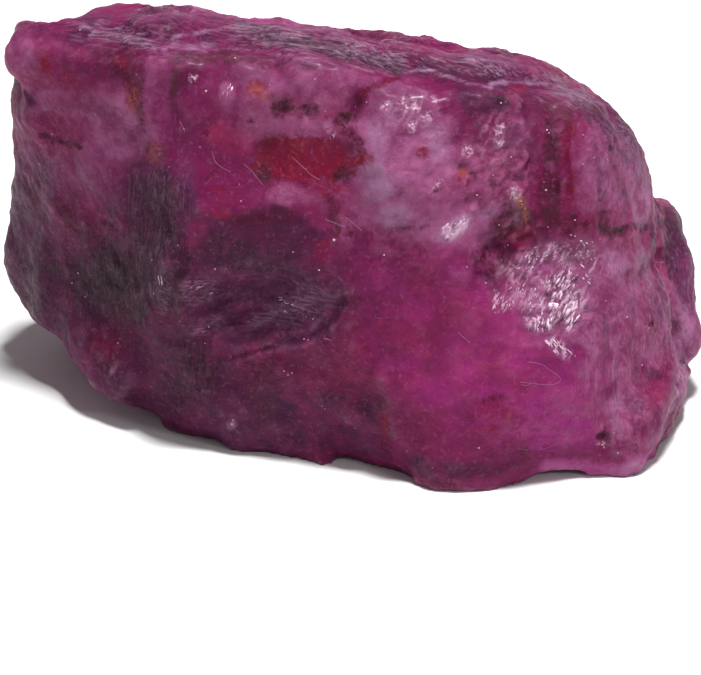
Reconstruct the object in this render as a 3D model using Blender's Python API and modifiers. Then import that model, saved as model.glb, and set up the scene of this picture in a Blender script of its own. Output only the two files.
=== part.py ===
"""A raw ruby crystal: one rough, blocky lump of corundum, lying on its broadest break.

The design is written in millimetres and scaled to metres at the end. X runs along the lump, Y from
its front to its back and Z up. Its masses are convex hulls of named corners, fused into one skin,
which is then carved with grooves, scars, ledges and chips, roughened, and cut flat where it rests.
"""

import math
import random
from dataclasses import dataclass

import bmesh
import bpy
from mathutils import Matrix, Vector, noise

MM = 0.001

# Driving dimensions, in millimetres.
LENGTH = 22.3  # the whole lump along X, once it is rough
SKIN_VOXEL = 0.26  # the grid that fuses the masses
CORNER_SOFTENING = 6  # smoothing passes that wear the corners down
SWELL = 0.15  # how far the skin then swells, which gives back what the smoothing took
TRIANGLES = 7600

HUMPS = ((3.6, 0.30), (1.6, 0.20))  # (size of a hump, its height) in each layer of the roughness
STRIA_WIDTH = 0.8  # across the grain
STRIA_LENGTH = 4.0  # along the grain, which runs up the sides and along the top
STRIA_HEIGHT = 0.16

CHIP_SEED = 11
CHIP_COUNT = 110
CHIP_RADIUS = (0.9, 2.1)  # smallest and largest
CHIP_SHARE = (0.03, 0.09)  # how deep a chip is, as a share of its radius
CHIP_TILT = 0.25  # how far a chip's plane leans from the skin, at random
CHIP_SPARES = -0.62  # skin that faces the front more than this, along Y, keeps its own forms
EDGE_SHARPNESS = 0.12  # how abruptly a flat ends at its reach; 0 would leave a wall

GROOVE_WANDER = 0.35  # how much a groove's width varies, as a share of it
MOUND_WANDER = 0.10  # how much a mound's outline varies, as a share of its reach
LEDGE_WANDER = 0.35  # how far a ledge strays from its line
WANDER_SIZE = 0.9  # the length over which they all vary
LOWEST_LEDGE = 9.5  # the skin below this height has no ledges
LEDGE_ENDS = 1.5  # how far from the ends of its line a ledge reaches its full rise

# The trunk of the lump. Each row of corners runs from left to right.
TRUNK = (
    # front rim of the top
    (-9.0, -0.5, 12.8), (-6.4, -1.9, 13.2), (-3.4, -2.7, 13.5), (-0.3, -3.1, 13.3),
    (2.4, -3.3, 12.9), (5.8, -3.1, 12.3), (7.8, -2.3, 11.5), (8.9, -1.2, 10.6),
    # back rim of the top
    (-10.0, 1.2, 12.5), (-7.8, 2.5, 12.7), (-5.6, 3.0, 12.5), (-1.0, 3.0, 11.8),
    (2.6, 3.0, 11.2), (5.6, 2.6, 10.8), (6.8, 1.9, 10.3), (7.7, 1.0, 9.8),
    # left end
    (-10.2, 0.7, 11.0), (-10.2, 1.6, 8.6), (-10.8, 2.4, 5.8), (-10.9, 2.3, 3.7), (-10.5, 2.1, 2.5),
    (-9.5, 0.6, 2.1),
    # waist of the front
    (-5.5, -3.3, 8.9), (-5.3, -3.9, 5.6), (-0.6, -4.8, 6.2), (2.6, -5.0, 7.2), (5.6, -5.0, 6.8),
    (7.6, -4.5, 6.9),
    # foot of the front
    (-6.2, -2.0, 0.0), (-3.4, -3.4, -0.2), (-0.6, -3.3, -0.2), (1.6, -4.2, -0.3), (2.9, -6.1, 0.0),
    (5.8, -4.8, -0.2), (8.9, -5.1, -0.1), (6.6, -5.8, 2.2), (9.8, -5.0, 1.0),
    # right end
    (9.6, -0.6, 8.3), (9.6, 1.0, 6.8), (10.2, -3.0, 2.6), (10.7, -2.7, 0.3), (10.4, -4.2, 0.0),
    (10.4, 1.6, 0.2),
    # keel of the underside, which the base cut takes away
    (-3.4, 0.4, -0.9), (4.6, 0.0, -0.9),
    # hidden back
    (-10.0, 4.2, 3.0), (-9.6, 3.8, 8.6), (-4.4, 5.8, 3.0), (-4.2, 5.0, 9.2), (2.6, 6.3, 2.4),
    (3.0, 5.4, 7.6), (8.4, 4.8, 2.0), (7.4, 4.2, 6.8), (-6.6, 4.2, -0.2), (0.6, 5.2, -0.3),
    (7.4, 4.0, -0.3),
)

# Smaller masses that stand out of the trunk.
MASSES = {
    "left_knob": (
        (-10.6, 0.3, 12.5), (-10.8, 0.6, 11.8), (-10.5, 0.8, 11.0), (-9.4, -0.7, 12.9),
        (-9.2, -0.9, 11.4), (-10.4, 2.2, 12.5), (-8.6, 1.6, 12.6), (-9.4, 2.0, 10.6),
    ),
    "left_foot_lobe": (
        (-9.3, -0.6, 2.6), (-9.3, -0.9, 1.6), (-8.7, -1.9, 0.7), (-7.4, -2.4, 0.5), (-6.6, -3.0, 2.4),
        (-8.4, -2.3, 3.2), (-7.8, 0.6, 0.7), (-6.2, 0.2, 0.5), (-7.6, 0.4, 3.6),
    ),
    "upper_right_block": (
        (7.2, -4.1, 10.7), (7.0, -4.7, 7.9), (8.1, -3.9, 7.5), (8.9, -2.6, 7.4), (9.6, -0.9, 7.4),
        (8.4, -2.4, 10.6), (9.3, -1.0, 9.6), (7.4, -3.0, 11.6), (7.2, -1.6, 7.6), (8.2, 1.0, 9.2),
    ),
    "right_shoulder": (
        (9.3, 0.6, 6.3), (10.2, 1.2, 5.9), (10.8, 1.5, 5.0), (11.1, 1.0, 3.4), (11.2, 0.0, 1.9),
        (11.0, -0.8, 1.4), (10.6, -0.8, 3.8), (9.6, -1.2, 5.6), (10.4, 4.0, 4.5), (9.4, 4.5, 2.0),
        (8.6, 3.6, 6.2), (10.7, 2.4, 0.8), (9.2, -2.6, 1.6),
    ),
}


@dataclass(frozen=True)
class Groove:
    """A channel pressed into the skin along a line of points."""

    path: tuple
    width: float
    depth: float


@dataclass(frozen=True)
class Mound:
    """An oval swelling, or a hollow if its height is negative."""

    centre: tuple
    reach: tuple
    turn: float  # degrees about Y, from the X axis towards Z
    height: float
    slope: float  # the share of its reach over which it rises


@dataclass(frozen=True)
class Flat:
    """A flat break: whatever stands proud of its plane, near its centre, is planed off."""

    centre: tuple
    facing: tuple
    reach: float


@dataclass(frozen=True)
class Ledge:
    """A step in the top: the skin behind a line of (x, y) points is raised and dies away again."""

    path: tuple
    rise: float
    width: float
    run: float  # how far behind the line the raised skin comes down again


GROOVES = (
    # the dirty channel right of the front bulge, and its fork under the bulge
    Groove(((5.9, -3.0, 12.2), (6.1, -3.4, 11.0), (6.2, -3.9, 9.2), (6.1, -4.5, 7.6)), 0.70, 0.85),
    Groove(((6.0, -3.9, 8.8), (5.2, -4.4, 7.9), (4.3, -4.9, 6.8)), 0.70, 0.55),
    # the crack that undercuts the upper right block
    Groove(((6.9, -4.6, 7.6), (7.8, -4.0, 7.1), (8.8, -2.6, 7.0), (9.6, -0.9, 6.9), (9.8, 0.8, 6.8)), 0.50, 0.65),
    # the parting between the right face and the shoulder behind it
    Groove(((9.6, -0.6, 6.6), (9.9, -0.9, 4.9), (10.4, -1.1, 3.3), (10.7, -1.2, 2.2)), 0.50, 0.35),
    # the notch low on the right end
    Groove(((9.2, -3.6, 2.7), (10.1, -2.4, 2.1), (10.8, -0.9, 1.5), (11.0, 0.8, 1.2)), 0.40, 0.38),
    # the seam from the rim of the top down to the rust patch
    Groove(((1.5, -3.2, 13.0), (0.4, -3.4, 12.4), (-0.2, -3.6, 11.5)), 0.40, 0.24),
    # the rounded inner corner where the front steps back from the left face
    Groove(((-2.6, -3.0, 13.1), (-4.8, -2.6, 12.9), (-5.5, -2.6, 12.3), (-5.4, -3.2, 10.0)), 0.45, 0.26),
    # the crack in the left end
    Groove(((-10.9, 1.4, 9.4), (-9.6, -0.1, 9.4), (-8.5, -0.9, 9.0)), 0.34, 0.36),
    # the neck under the left knob
    Groove(((-9.6, -0.4, 10.6), (-10.7, 1.0, 10.5), (-10.6, 3.0, 10.6)), 0.60, 0.35),
    # the hollow above the left foot lobe
    Groove(((-10.2, 0.4, 2.0), (-9.2, -1.0, 3.4), (-7.6, -2.4, 4.0)), 0.60, 0.35),
    # the lip under the oval scar
    Groove(((-4.0, -4.4, 4.0), (-2.8, -4.7, 3.9), (-1.6, -4.9, 4.3)), 0.35, 0.28),
    # the step between the dark foot and the foot bulge
    Groove(((1.0, -5.2, 0.2), (0.8, -5.4, 1.8), (0.4, -5.2, 3.2)), 0.45, 0.20),
    # the thin parting near the foot of the right front
    Groove(((2.9, -6.3, 0.6), (6.0, -5.6, 0.7), (9.0, -5.2, 0.8)), 0.24, 0.20),
    # long valleys on the hidden back
    Groove(((-8.6, 4.2, 8.6), (-5.0, 5.2, 7.0), (-1.0, 6.0, 5.0), (2.4, 6.4, 3.4)), 0.90, 0.55),
    Groove(((4.4, 3.8, 10.0), (5.0, 5.2, 7.0), (4.6, 6.0, 3.6)), 0.70, 0.45),
)

MOUNDS = (
    # the oval scar low on the left of the front, and the cap of dark stone above it
    Mound((-2.6, -4.6, 5.6), (2.7, 2.0, 1.45), 10.0, -0.70, 0.42),
    Mound((-2.6, -4.2, 7.7), (2.3, 1.6, 0.9), 4.0, 0.16, 0.80),
    # the shallow hollow of the rust patch
    Mound((-1.2, -3.5, 10.6), (1.9, 1.5, 0.95), 4.0, -0.16, 0.40),
    # the milky bulge right of the rust patch
    Mound((1.8, -4.2, 10.6), (2.0, 2.0, 2.9), 12.0, 0.48, 0.90),
    # the hollow beside it, where the dirt lies
    Mound((4.9, -4.5, 8.4), (1.3, 1.5, 1.6), 0.0, -0.60, 0.70),
    # the low bulge that glows at the right foot
    Mound((4.6, -6.0, 3.4), (3.2, 2.0, 2.6), 0.0, 0.32, 0.95),
    # the pit in the right face, and the hollow under the shoulder
    Mound((8.1, -5.3, 1.8), (0.7, 0.7, 0.8), 0.0, -0.35, 0.80),
    Mound((10.0, -0.3, 5.1), (0.8, 0.9, 0.9), 0.0, -0.45, 0.80),
    # the hollow on the hidden back
    Mound((-2.4, 5.9, 5.4), (2.4, 2.2, 2.0), -20.0, -0.55, 0.70),
)

FLATS = (
    # the bright facet between the dirty channel and the right face
    Flat((6.1, -4.80, 6.0), (0.22, -0.88, 0.42), 2.2),
    # the broad breaks of the right face, of the left face, and low on the left of the front
    Flat((8.6, -4.1, 4.6), (0.74, -0.66, 0.12), 2.6),
    Flat((-7.9, -1.3, 8.0), (-0.60, -0.80, 0.05), 3.4),
    Flat((-3.0, -4.0, 2.0), (-0.25, -0.95, -0.15), 3.0),
    # the small breaks of the front: beside the rust patch, above the glowing bulge and under the scar
    Flat((-3.7, -3.25, 10.6), (-0.10, -0.98, 0.18), 1.8),
    Flat((2.2, -5.25, 5.4), (-0.12, -0.98, 0.14), 1.9),
    Flat((-0.4, -4.95, 2.6), (-0.30, -0.95, 0.02), 1.7),
    # the break that sets the dark foot back from the foot bulge
    Flat((0.8, -4.70, 0.5), (-0.45, -0.82, -0.35), 1.6),
    # broad breaks of the hidden back
    Flat((-6.8, 4.6, 6.0), (-0.35, 0.93, 0.10), 3.6),
    Flat((1.2, 5.4, 8.6), (0.05, 0.80, 0.60), 3.2),
    Flat((6.6, 5.0, 4.4), (0.42, 0.90, 0.05), 3.2),
)

LEDGES = (
    # the long dark ledge that crosses the top
    Ledge(((-3.8, -0.9), (-1.4, -1.5), (1.4, -1.8), (4.2, -1.8), (7.4, -1.0)), 0.62, 0.50, 3.8),
    # the short bright ledge at the left of the top
    Ledge(((-9.4, 0.9), (-7.8, 0.2), (-6.2, -0.6), (-3.4, -0.2)), 0.42, 0.45, 3.8),
)


def clear_scene():
    """Removes every object that the file opened with."""
    for obj in list(bpy.data.objects):
        bpy.data.objects.remove(obj)


def add_hull(bm, corners):
    """Adds the convex hull of the corners to bm as a closed body of its own."""
    corner_verts = [bm.verts.new(corner) for corner in corners]
    hull = bmesh.ops.convex_hull(bm, input=corner_verts)
    inside = {v for v in hull["geom_interior"] if isinstance(v, bmesh.types.BMVert)}
    bmesh.ops.delete(bm, geom=list(inside), context="VERTS")


def fused_skin():
    """The trunk and the smaller masses, fused by a voxel remesh into one closed mesh."""
    bm = bmesh.new()
    for corners in (TRUNK, *MASSES.values()):
        add_hull(bm, corners)
    bmesh.ops.recalc_face_normals(bm, faces=bm.faces)
    mesh = bpy.data.meshes.new("masses")
    bm.to_mesh(mesh)
    bm.free()

    masses = bpy.data.objects.new("masses", mesh)
    bpy.context.scene.collection.objects.link(masses)
    remesh = masses.modifiers.new("fuse", "REMESH")
    remesh.mode = "VOXEL"
    remesh.voxel_size = SKIN_VOXEL
    evaluated = masses.evaluated_get(bpy.context.evaluated_depsgraph_get())
    skin = bpy.data.meshes.new_from_object(evaluated)
    bpy.data.objects.remove(masses)
    return skin


def fall_off(distance, width):
    """1 on the line, easing to 0 at the given distance."""
    share = min(1.0, distance / width)
    return (1.0 - share * share) ** 2


def distance_to_path(point, path):
    """How far the point is from a line of points."""
    nearest = math.inf
    for start, end in zip(path, path[1:]):
        start, end = Vector(start), Vector(end)
        along = end - start
        share = max(0.0, min(1.0, (point - start).dot(along) / along.length_squared))
        nearest = min(nearest, (point - start - along * share).length)
    return nearest


def wander(point):
    """A smooth noise from -1 to 1 that keeps outlines from being perfect."""
    return noise.noise(point / WANDER_SIZE)


def groove_depth(groove, point):
    """How far the groove presses the skin in at the point."""
    width = groove.width * (1.0 + GROOVE_WANDER * wander(point))
    return groove.depth * fall_off(distance_to_path(point, groove.path), width)


def mound_height(mound, point):
    """How far the mound lifts the skin at the point."""
    local = Matrix.Rotation(math.radians(mound.turn), 3, "Y") @ (point - Vector(mound.centre))
    reach = Vector(local[i] / mound.reach[i] for i in range(3)).length + MOUND_WANDER * wander(point)
    climb = max(0.0, min(1.0, (1.0 - reach) / mound.slope))
    return mound.height * climb * climb * (3.0 - 2.0 * climb)


def ledge_rise(ledge, point):
    """How far the ledge lifts the skin at the point."""
    for (x0, y0), (x1, y1) in zip(ledge.path, ledge.path[1:]):
        if point.z > LOWEST_LEDGE and x0 <= point.x < x1:
            line_y = y0 + (y1 - y0) * (point.x - x0) / (x1 - x0)
            behind = point.y - line_y + LEDGE_WANDER * wander(point)
            climb = max(0.0, min(1.0, behind / ledge.width))
            come_down = max(0.0, 1.0 - max(0.0, behind - ledge.width) / ledge.run)
            from_ends = min(point.x - ledge.path[0][0], ledge.path[-1][0] - point.x)
            return ledge.rise * climb * come_down * min(1.0, from_ends / LEDGE_ENDS)
    return 0.0


def carve(bm):
    """Presses the grooves into the skin and raises the mounds and the ledges."""
    bm.normal_update()
    moves = []
    for vert in bm.verts:
        outward = sum(mound_height(mound, vert.co) for mound in MOUNDS)
        outward -= sum(groove_depth(groove, vert.co) for groove in GROOVES)
        upward = sum(ledge_rise(ledge, vert.co) for ledge in LEDGES)
        moves.append(Vector((0.0, 0.0, upward)) + vert.normal * outward)
    for vert, move in zip(bm.verts, moves):
        vert.co += move


def plane_off(bm, flat):
    """Planes the skin near the flat's centre down to its plane, fading out at its edge."""
    facing = Vector(flat.facing).normalized()
    for vert in bm.verts:
        offset = vert.co - Vector(flat.centre)
        proud = offset.dot(facing)
        if proud > 0.0 and offset.length < flat.reach:
            vert.co -= facing * proud * fall_off(offset.length, flat.reach) ** EDGE_SHARPNESS


def chip(bm):
    """Strikes small flats off the skin at random, everywhere but on the front."""
    dice = random.Random(CHIP_SEED)
    bm.normal_update()
    bm.verts.ensure_lookup_table()
    for _ in range(CHIP_COUNT):
        struck = bm.verts[dice.randrange(len(bm.verts))]
        tilt = Vector(dice.gauss(0.0, CHIP_TILT) for _ in range(3))
        facing = (struck.normal + tilt).normalized()
        radius = dice.uniform(*CHIP_RADIUS)
        depth = dice.uniform(*CHIP_SHARE) * radius
        if struck.normal.y > CHIP_SPARES:
            plane_off(bm, Flat(struck.co - facing * depth, facing, radius))


def hump_height(point):
    """The height of the rounded humps at the point."""
    return sum(height * noise.noise(point / size) for size, height in HUMPS)


def stria_height(point, normal):
    """The height of the grain at the point: ridges that run up the sides and along the top."""
    across = point / STRIA_WIDTH
    along = STRIA_WIDTH / STRIA_LENGTH
    up_the_side = noise.noise(Vector((across.x, across.y, across.z * along)))
    along_the_top = noise.noise(Vector((across.x * along, across.y, across.z)))
    topness = max(0.0, normal.z) ** 2
    return STRIA_HEIGHT * (up_the_side + (along_the_top - up_the_side) * topness)


def roughen(bm):
    """Raises the humps and the grain over the whole skin, so that no flat of a hull survives."""
    bm.normal_update()
    heights = [hump_height(vert.co) + stria_height(vert.co, vert.normal) for vert in bm.verts]
    for vert, height in zip(bm.verts, heights):
        vert.co += vert.normal * height


def cut_base(bm):
    """Cuts the underside flat, the face that the lump rests on, and closes the cut."""
    geometry = [*bm.verts, *bm.edges, *bm.faces]
    cut = bmesh.ops.bisect_plane(
        bm, geom=geometry, dist=1e-5, plane_co=(0, 0, 0), plane_no=(0, 0, 1), clear_inner=True
    )
    rim = [edge for edge in cut["geom_cut"] if isinstance(edge, bmesh.types.BMEdge)]
    bmesh.ops.contextual_create(bm, geom=rim)


def settle(bm):
    """Scales the lump to its length, in metres, and puts the middle of its base at the origin."""
    low = Vector(min(vert.co[i] for vert in bm.verts) for i in range(3))
    high = Vector(max(vert.co[i] for vert in bm.verts) for i in range(3))
    centre = Vector(((low.x + high.x) / 2, (low.y + high.y) / 2, low.z))
    bmesh.ops.translate(bm, vec=-centre, verts=bm.verts)
    bmesh.ops.scale(bm, vec=Vector((1, 1, 1)) * (LENGTH / (high.x - low.x) * MM), verts=bm.verts)


def ruby_material():
    """The plain finish of the solid: a glossy, dark purplish red stone."""
    material = bpy.data.materials.new("raw_ruby")
    material.use_nodes = True
    shader = material.node_tree.nodes["Principled BSDF"]
    shader.inputs["Base Color"].default_value = (0.27, 0.03, 0.12, 1.0)
    shader.inputs["Roughness"].default_value = 0.42
    shader.inputs["Metallic"].default_value = 0.0
    return material


def sculpted_skin():
    """The fused skin, worn down, swollen, planed, carved and roughened."""
    mesh = fused_skin()
    bm = bmesh.new()
    bm.from_mesh(mesh)
    bpy.data.meshes.remove(mesh)
    for _ in range(CORNER_SOFTENING):
        bmesh.ops.smooth_vert(
            bm, verts=bm.verts, factor=0.5, use_axis_x=True, use_axis_y=True, use_axis_z=True
        )
    bm.normal_update()
    for vert in bm.verts:
        vert.co += vert.normal * SWELL
    for flat in FLATS:
        plane_off(bm, flat)
    chip(bm)
    carve(bm)
    roughen(bm)
    skin = bpy.data.meshes.new("sculpted")
    bm.to_mesh(skin)
    bm.free()
    return skin


def thinned(skin):
    """The skin with its triangles brought down to the number wanted."""
    thick = bpy.data.objects.new("thick", skin)
    bpy.context.scene.collection.objects.link(thick)
    decimate = thick.modifiers.new("thin_out", "DECIMATE")
    decimate.ratio = TRIANGLES / sum(len(polygon.vertices) - 2 for polygon in skin.polygons)
    decimate.use_collapse_triangulate = True
    mesh = bpy.data.meshes.new_from_object(thick.evaluated_get(bpy.context.evaluated_depsgraph_get()))
    bpy.data.objects.remove(thick)
    bpy.data.meshes.remove(skin)
    return mesh


def build_ruby():
    """Makes the lump, in a collection of its own."""
    mesh = thinned(sculpted_skin())
    bm = bmesh.new()
    bm.from_mesh(mesh)
    cut_base(bm)
    settle(bm)
    bmesh.ops.triangulate(bm, faces=bm.faces)
    bm.to_mesh(mesh)
    bm.free()
    mesh.name = "ruby_crystal"
    mesh.materials.append(ruby_material())
    collection = bpy.data.collections.new("raw_ruby_crystal")
    bpy.context.scene.collection.children.link(collection)
    collection.objects.link(bpy.data.objects.new("ruby_crystal", mesh))


def main():
    clear_scene()
    build_ruby()


main()
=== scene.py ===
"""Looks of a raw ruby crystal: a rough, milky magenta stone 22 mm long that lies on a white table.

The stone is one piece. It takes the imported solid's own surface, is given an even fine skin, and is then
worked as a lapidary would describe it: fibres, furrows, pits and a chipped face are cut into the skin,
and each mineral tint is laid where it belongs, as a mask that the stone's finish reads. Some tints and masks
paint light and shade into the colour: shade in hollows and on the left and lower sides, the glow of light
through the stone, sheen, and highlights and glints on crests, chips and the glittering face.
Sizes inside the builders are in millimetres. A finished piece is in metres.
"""

import logging
import math
from dataclasses import dataclass
from enum import Enum

import bmesh
import bpy
import numpy as np
from mathutils import Matrix, Vector, noise


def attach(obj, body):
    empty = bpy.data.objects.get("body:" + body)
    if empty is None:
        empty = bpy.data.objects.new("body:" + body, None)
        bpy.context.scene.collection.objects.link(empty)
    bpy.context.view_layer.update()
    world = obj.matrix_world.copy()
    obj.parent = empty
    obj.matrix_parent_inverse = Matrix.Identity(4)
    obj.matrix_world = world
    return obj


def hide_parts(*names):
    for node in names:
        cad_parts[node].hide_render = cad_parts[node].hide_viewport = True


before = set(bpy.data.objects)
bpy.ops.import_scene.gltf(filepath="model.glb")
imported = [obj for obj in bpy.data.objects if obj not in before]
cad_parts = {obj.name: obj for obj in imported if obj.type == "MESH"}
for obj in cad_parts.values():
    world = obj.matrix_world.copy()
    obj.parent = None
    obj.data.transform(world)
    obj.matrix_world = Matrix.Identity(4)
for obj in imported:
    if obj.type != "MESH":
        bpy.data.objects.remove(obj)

LOG = logging.getLogger("ruby")
MM = 0.001
NODE = "ruby_crystal"
NOISE_SEED = 7
FAR = 1e9

Socket = bpy.types.NodeSocket
Colour = tuple[float, float, float, float]
Spot = tuple[float, float, float]
Path = tuple[tuple[float, float], ...]
Row = tuple[float, ...]
Range = tuple[float, float]


def linear(code: str) -> Colour:
    """Turns a screen colour into the renderer's linear one.

    Args:
        code: the colour as "#RRGGBB".

    Returns:
        Red, green, blue and a full alpha.
    """
    parts = [int(code[i : i + 2], 16) / 255 for i in (1, 3, 5)]
    return (*(c / 12.92 if c < 0.04045 else ((c + 0.055) / 1.055) ** 2.4 for c in parts), 1.0)


def smooth(x: np.ndarray) -> np.ndarray:
    """Returns x held between 0 and 1 and eased at both ends."""
    x = np.clip(x, 0.0, 1.0)
    return x * x * (3.0 - 2.0 * x)


class Grain(Enum):
    """How a tint breaks up inside the patch that holds it."""

    EVEN = "even"
    CLOUDY = "cloudy"
    MOTTLED = "mottled"
    UPRIGHT = "upright"
    LENGTHWISE = "lengthwise"
    SPECKLED = "speckled"


class Tint(Enum):
    """Mineral colours, in the order in which they are laid, each with its grain. Five of them also paint
    light and shade, as noted at each.
    """

    WINE = ("#6A1442", Grain.CLOUDY)
    # painted glow: light passing through the stone, laid as colour
    GLOW = ("#942572", Grain.EVEN)
    ROSE = ("#8E254F", Grain.CLOUDY)
    PURPLE = ("#5A2850", Grain.CLOUDY)
    # the stone's milky veil, and also painted sheen
    MILK = ("#945079", Grain.CLOUDY)
    # the stone's dark plum tone, and also painted shade
    PLUM = ("#441434", Grain.CLOUDY)
    MAROON = ("#4C0C28", Grain.MOTTLED)
    NIGHT = ("#2A0E1C", Grain.UPRIGHT)
    # pale lilac streaks, and also painted highlights
    LILAC = ("#9C6E92", Grain.CLOUDY)
    OLIVE = ("#4E2030", Grain.MOTTLED)
    BLOOD = ("#780C2E", Grain.MOTTLED)
    RUST = ("#70142A", Grain.MOTTLED)
    SOOT = ("#28161C", Grain.MOTTLED)
    ASH = ("#7A5A70", Grain.LENGTHWISE)
    ORANGE = ("#8C4038", Grain.SPECKLED)
    # pale specks, and also painted highlights
    FROST = ("#C8A0BA", Grain.SPECKLED)

    @property
    def mask(self) -> str:
        """The name of the mask that holds the tint's place."""
        return "tint_" + self.name.lower()


class Field(Enum):
    """Masks on the stone that are not a colour, each with the mask's name."""

    # painted shade: darker colour where the surface is sunk
    HOLLOW = "hollow"
    # painted highlight: lighter colour on crests, and a little coat gloss
    RIDGE = "ridge"
    SILK = "silk"
    SLANT = "slant"
    COMB = "comb"
    SWEEP = "sweep"
    # broken relief, whose pale faces are painted glints
    CHIPS = "chips"
    # the glittering face: painted sheen in its lighter ground, and coat gloss
    GLITTER = "glitter"
    GLOSS = "gloss"

    @property
    def mask(self) -> str:
        """The name of the mask."""
        return self.value


Grains = dict[Grain | Field, Socket]


@dataclass(frozen=True)
class Oval:
    """A soft oval on the stone, set out in the front sight's steps.

    Attributes:
        across: steps from the left to its middle.
        down: steps from the top to its middle.
        wide: half its width before it is turned.
        tall: half its height before it is turned.
        turn: degrees that it is turned, clockwise as seen.
    """

    across: float
    down: float
    wide: float
    tall: float
    turn: float = 0.0


@dataclass(frozen=True)
class Patch(Oval):
    """An oval of a tint or field: its strength at the middle, and the share of its radius where it fades."""

    strength: float = 1.0
    edge: float = 0.7


@dataclass(frozen=True)
class Rubble(Oval):
    """An oval of lumpy broken skin, with its lumps' size and height in millimetres."""

    lump: float = 0.35
    height: float = 0.07


@dataclass(frozen=True)
class Fibres(Oval):
    """An oval where the skin is drawn into fibres.

    Attributes:
        lean: degrees between the fibres and the level, clockwise as seen.
        pitch: millimetres from fibre to fibre.
        height: millimetres from trough to crest.
    """

    lean: float = 84.0
    pitch: float = 0.34
    height: float = 0.035


@dataclass(frozen=True)
class GlintStrokes(Oval):
    """An oval of long pale chips that lie side by side, painted highlights. They alone are turned, not the
    oval.

    Attributes:
        count: how many there are.
        length: a chip's length in steps.
        girth: a chip's width in steps.
    """

    count: int = 10
    length: float = 5.0
    girth: float = 1.0


@dataclass(frozen=True)
class Ball:
    """A ball in which the skin is changed: its middle and radius in millimetres."""

    middle: Spot
    radius: float

    def near(self, points: np.ndarray) -> np.ndarray:
        """Returns 1 at the ball's middle, 0 at its radius and less beyond."""
        return 1.0 - np.linalg.norm(points - np.array(self.middle), axis=1) / self.radius


@dataclass(frozen=True)
class Easing(Ball):
    """A ball where the solid's steps are worn smooth.

    Attributes:
        share: how much of the wear is kept.
        fills: whether it only raises what is sunk.
        rounds: how often neighbours are averaged.
    """

    share: float = 1.0
    fills: bool = False
    rounds: int = 160


@dataclass(frozen=True)
class Swelling(Ball):
    """A ball where the skin is raised, by up to a height in millimetres."""

    height: float = 0.0


@dataclass(frozen=True)
class Nudge(Ball):
    """A ball whose skin is shifted, by up to a distance in millimetres."""

    shift: Spot = (0.0, 0.0, 0.0)


@dataclass(frozen=True)
class SpeckAndGlint:
    """A pale grain on the skin, most often a painted glint: its place and radius in sight steps, and how
    golden it is.
    """

    across: float
    down: float
    radius: float
    gold: float = 0.0


@dataclass(frozen=True)
class Lie:
    """How natural cloudiness lays a tint on the sides that no patch reaches.

    Attributes:
        kind: the tint or field.
        size: the clouds' size in millimetres.
        share: the share of the surface that it covers.
        seed: where in the noise the clouds are taken.
        strength: how much of it is laid.
    """

    kind: Tint | Field
    size: float
    share: float
    seed: float
    strength: float = 1.0


@dataclass(frozen=True)
class Sight:
    """A direction from which the stone is looked at and its features are set out.

    Attributes:
        azimuth: degrees round from the front.
        elevation: degrees above the level.
        distance: millimetres from the eye to the aim.
        aim: what it looks at, in millimetres.
        middle: the aim's steps from the left and from the top.
        steps: steps in a millimetre at the aim. A step is the unit of a place in the sight.
        width: how many steps the whole sight is wide.
    """

    azimuth: float = 0.0
    elevation: float = 30.0
    distance: float = 240.0
    aim: Spot = (0.0, 0.0, 1.98)
    middle: tuple[float, float] = (350.5, 337.5)
    steps: float = 31.45
    width: float = 701.0

    @property
    def back(self) -> Vector:
        """The unit vector from the aim towards the eye."""
        a, e = math.radians(self.azimuth), math.radians(self.elevation)
        return Vector((math.sin(a) * math.cos(e), -math.cos(a) * math.cos(e), math.sin(e)))

    @property
    def right(self) -> Vector:
        """The unit vector that points right in the sight."""
        a = math.radians(self.azimuth)
        return Vector((math.cos(a), math.sin(a), 0.0))

    @property
    def up(self) -> Vector:
        """The unit vector that points up in the sight."""
        return self.back.cross(self.right)

    @property
    def eye(self) -> Vector:
        """Where the eye is, in millimetres."""
        return Vector(self.aim) + self.back * self.distance

    def along(self, lean: float) -> Vector:
        """Returns the unit vector that leans by an angle below the level, clockwise as seen, in radians."""
        return self.right * math.cos(lean) - self.up * math.sin(lean)

    def places(self, points: np.ndarray) -> tuple[np.ndarray, np.ndarray, np.ndarray]:
        """Finds where points lie in the sight.

        Args:
            points: rows of x, y, z in millimetres.

        Returns:
            Steps from the left, steps from the top, and the depth from the eye in millimetres.
        """
        away = points - np.array(self.eye)
        depth = -away @ np.array(self.back)
        scale = self.steps * self.distance / depth
        return (
            self.middle[0] + away @ np.array(self.right) * scale,
            self.middle[1] - away @ np.array(self.up) * scale,
            depth,
        )

    def point(self, across: float, down: float, depth: float) -> Vector:
        """Finds the point that lies at a place and depth in the sight.

        Args:
            across: steps from the left.
            down: steps from the top.
            depth: millimetres from the eye.

        Returns:
            The point in millimetres.
        """
        scale = self.steps * self.distance / depth
        x, y = (across - self.middle[0]) / scale, (self.middle[1] - down) / scale
        return self.eye - self.back * depth + self.right * x + self.up * y


FRONT = Sight()

T, F = Tint, Field

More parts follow.
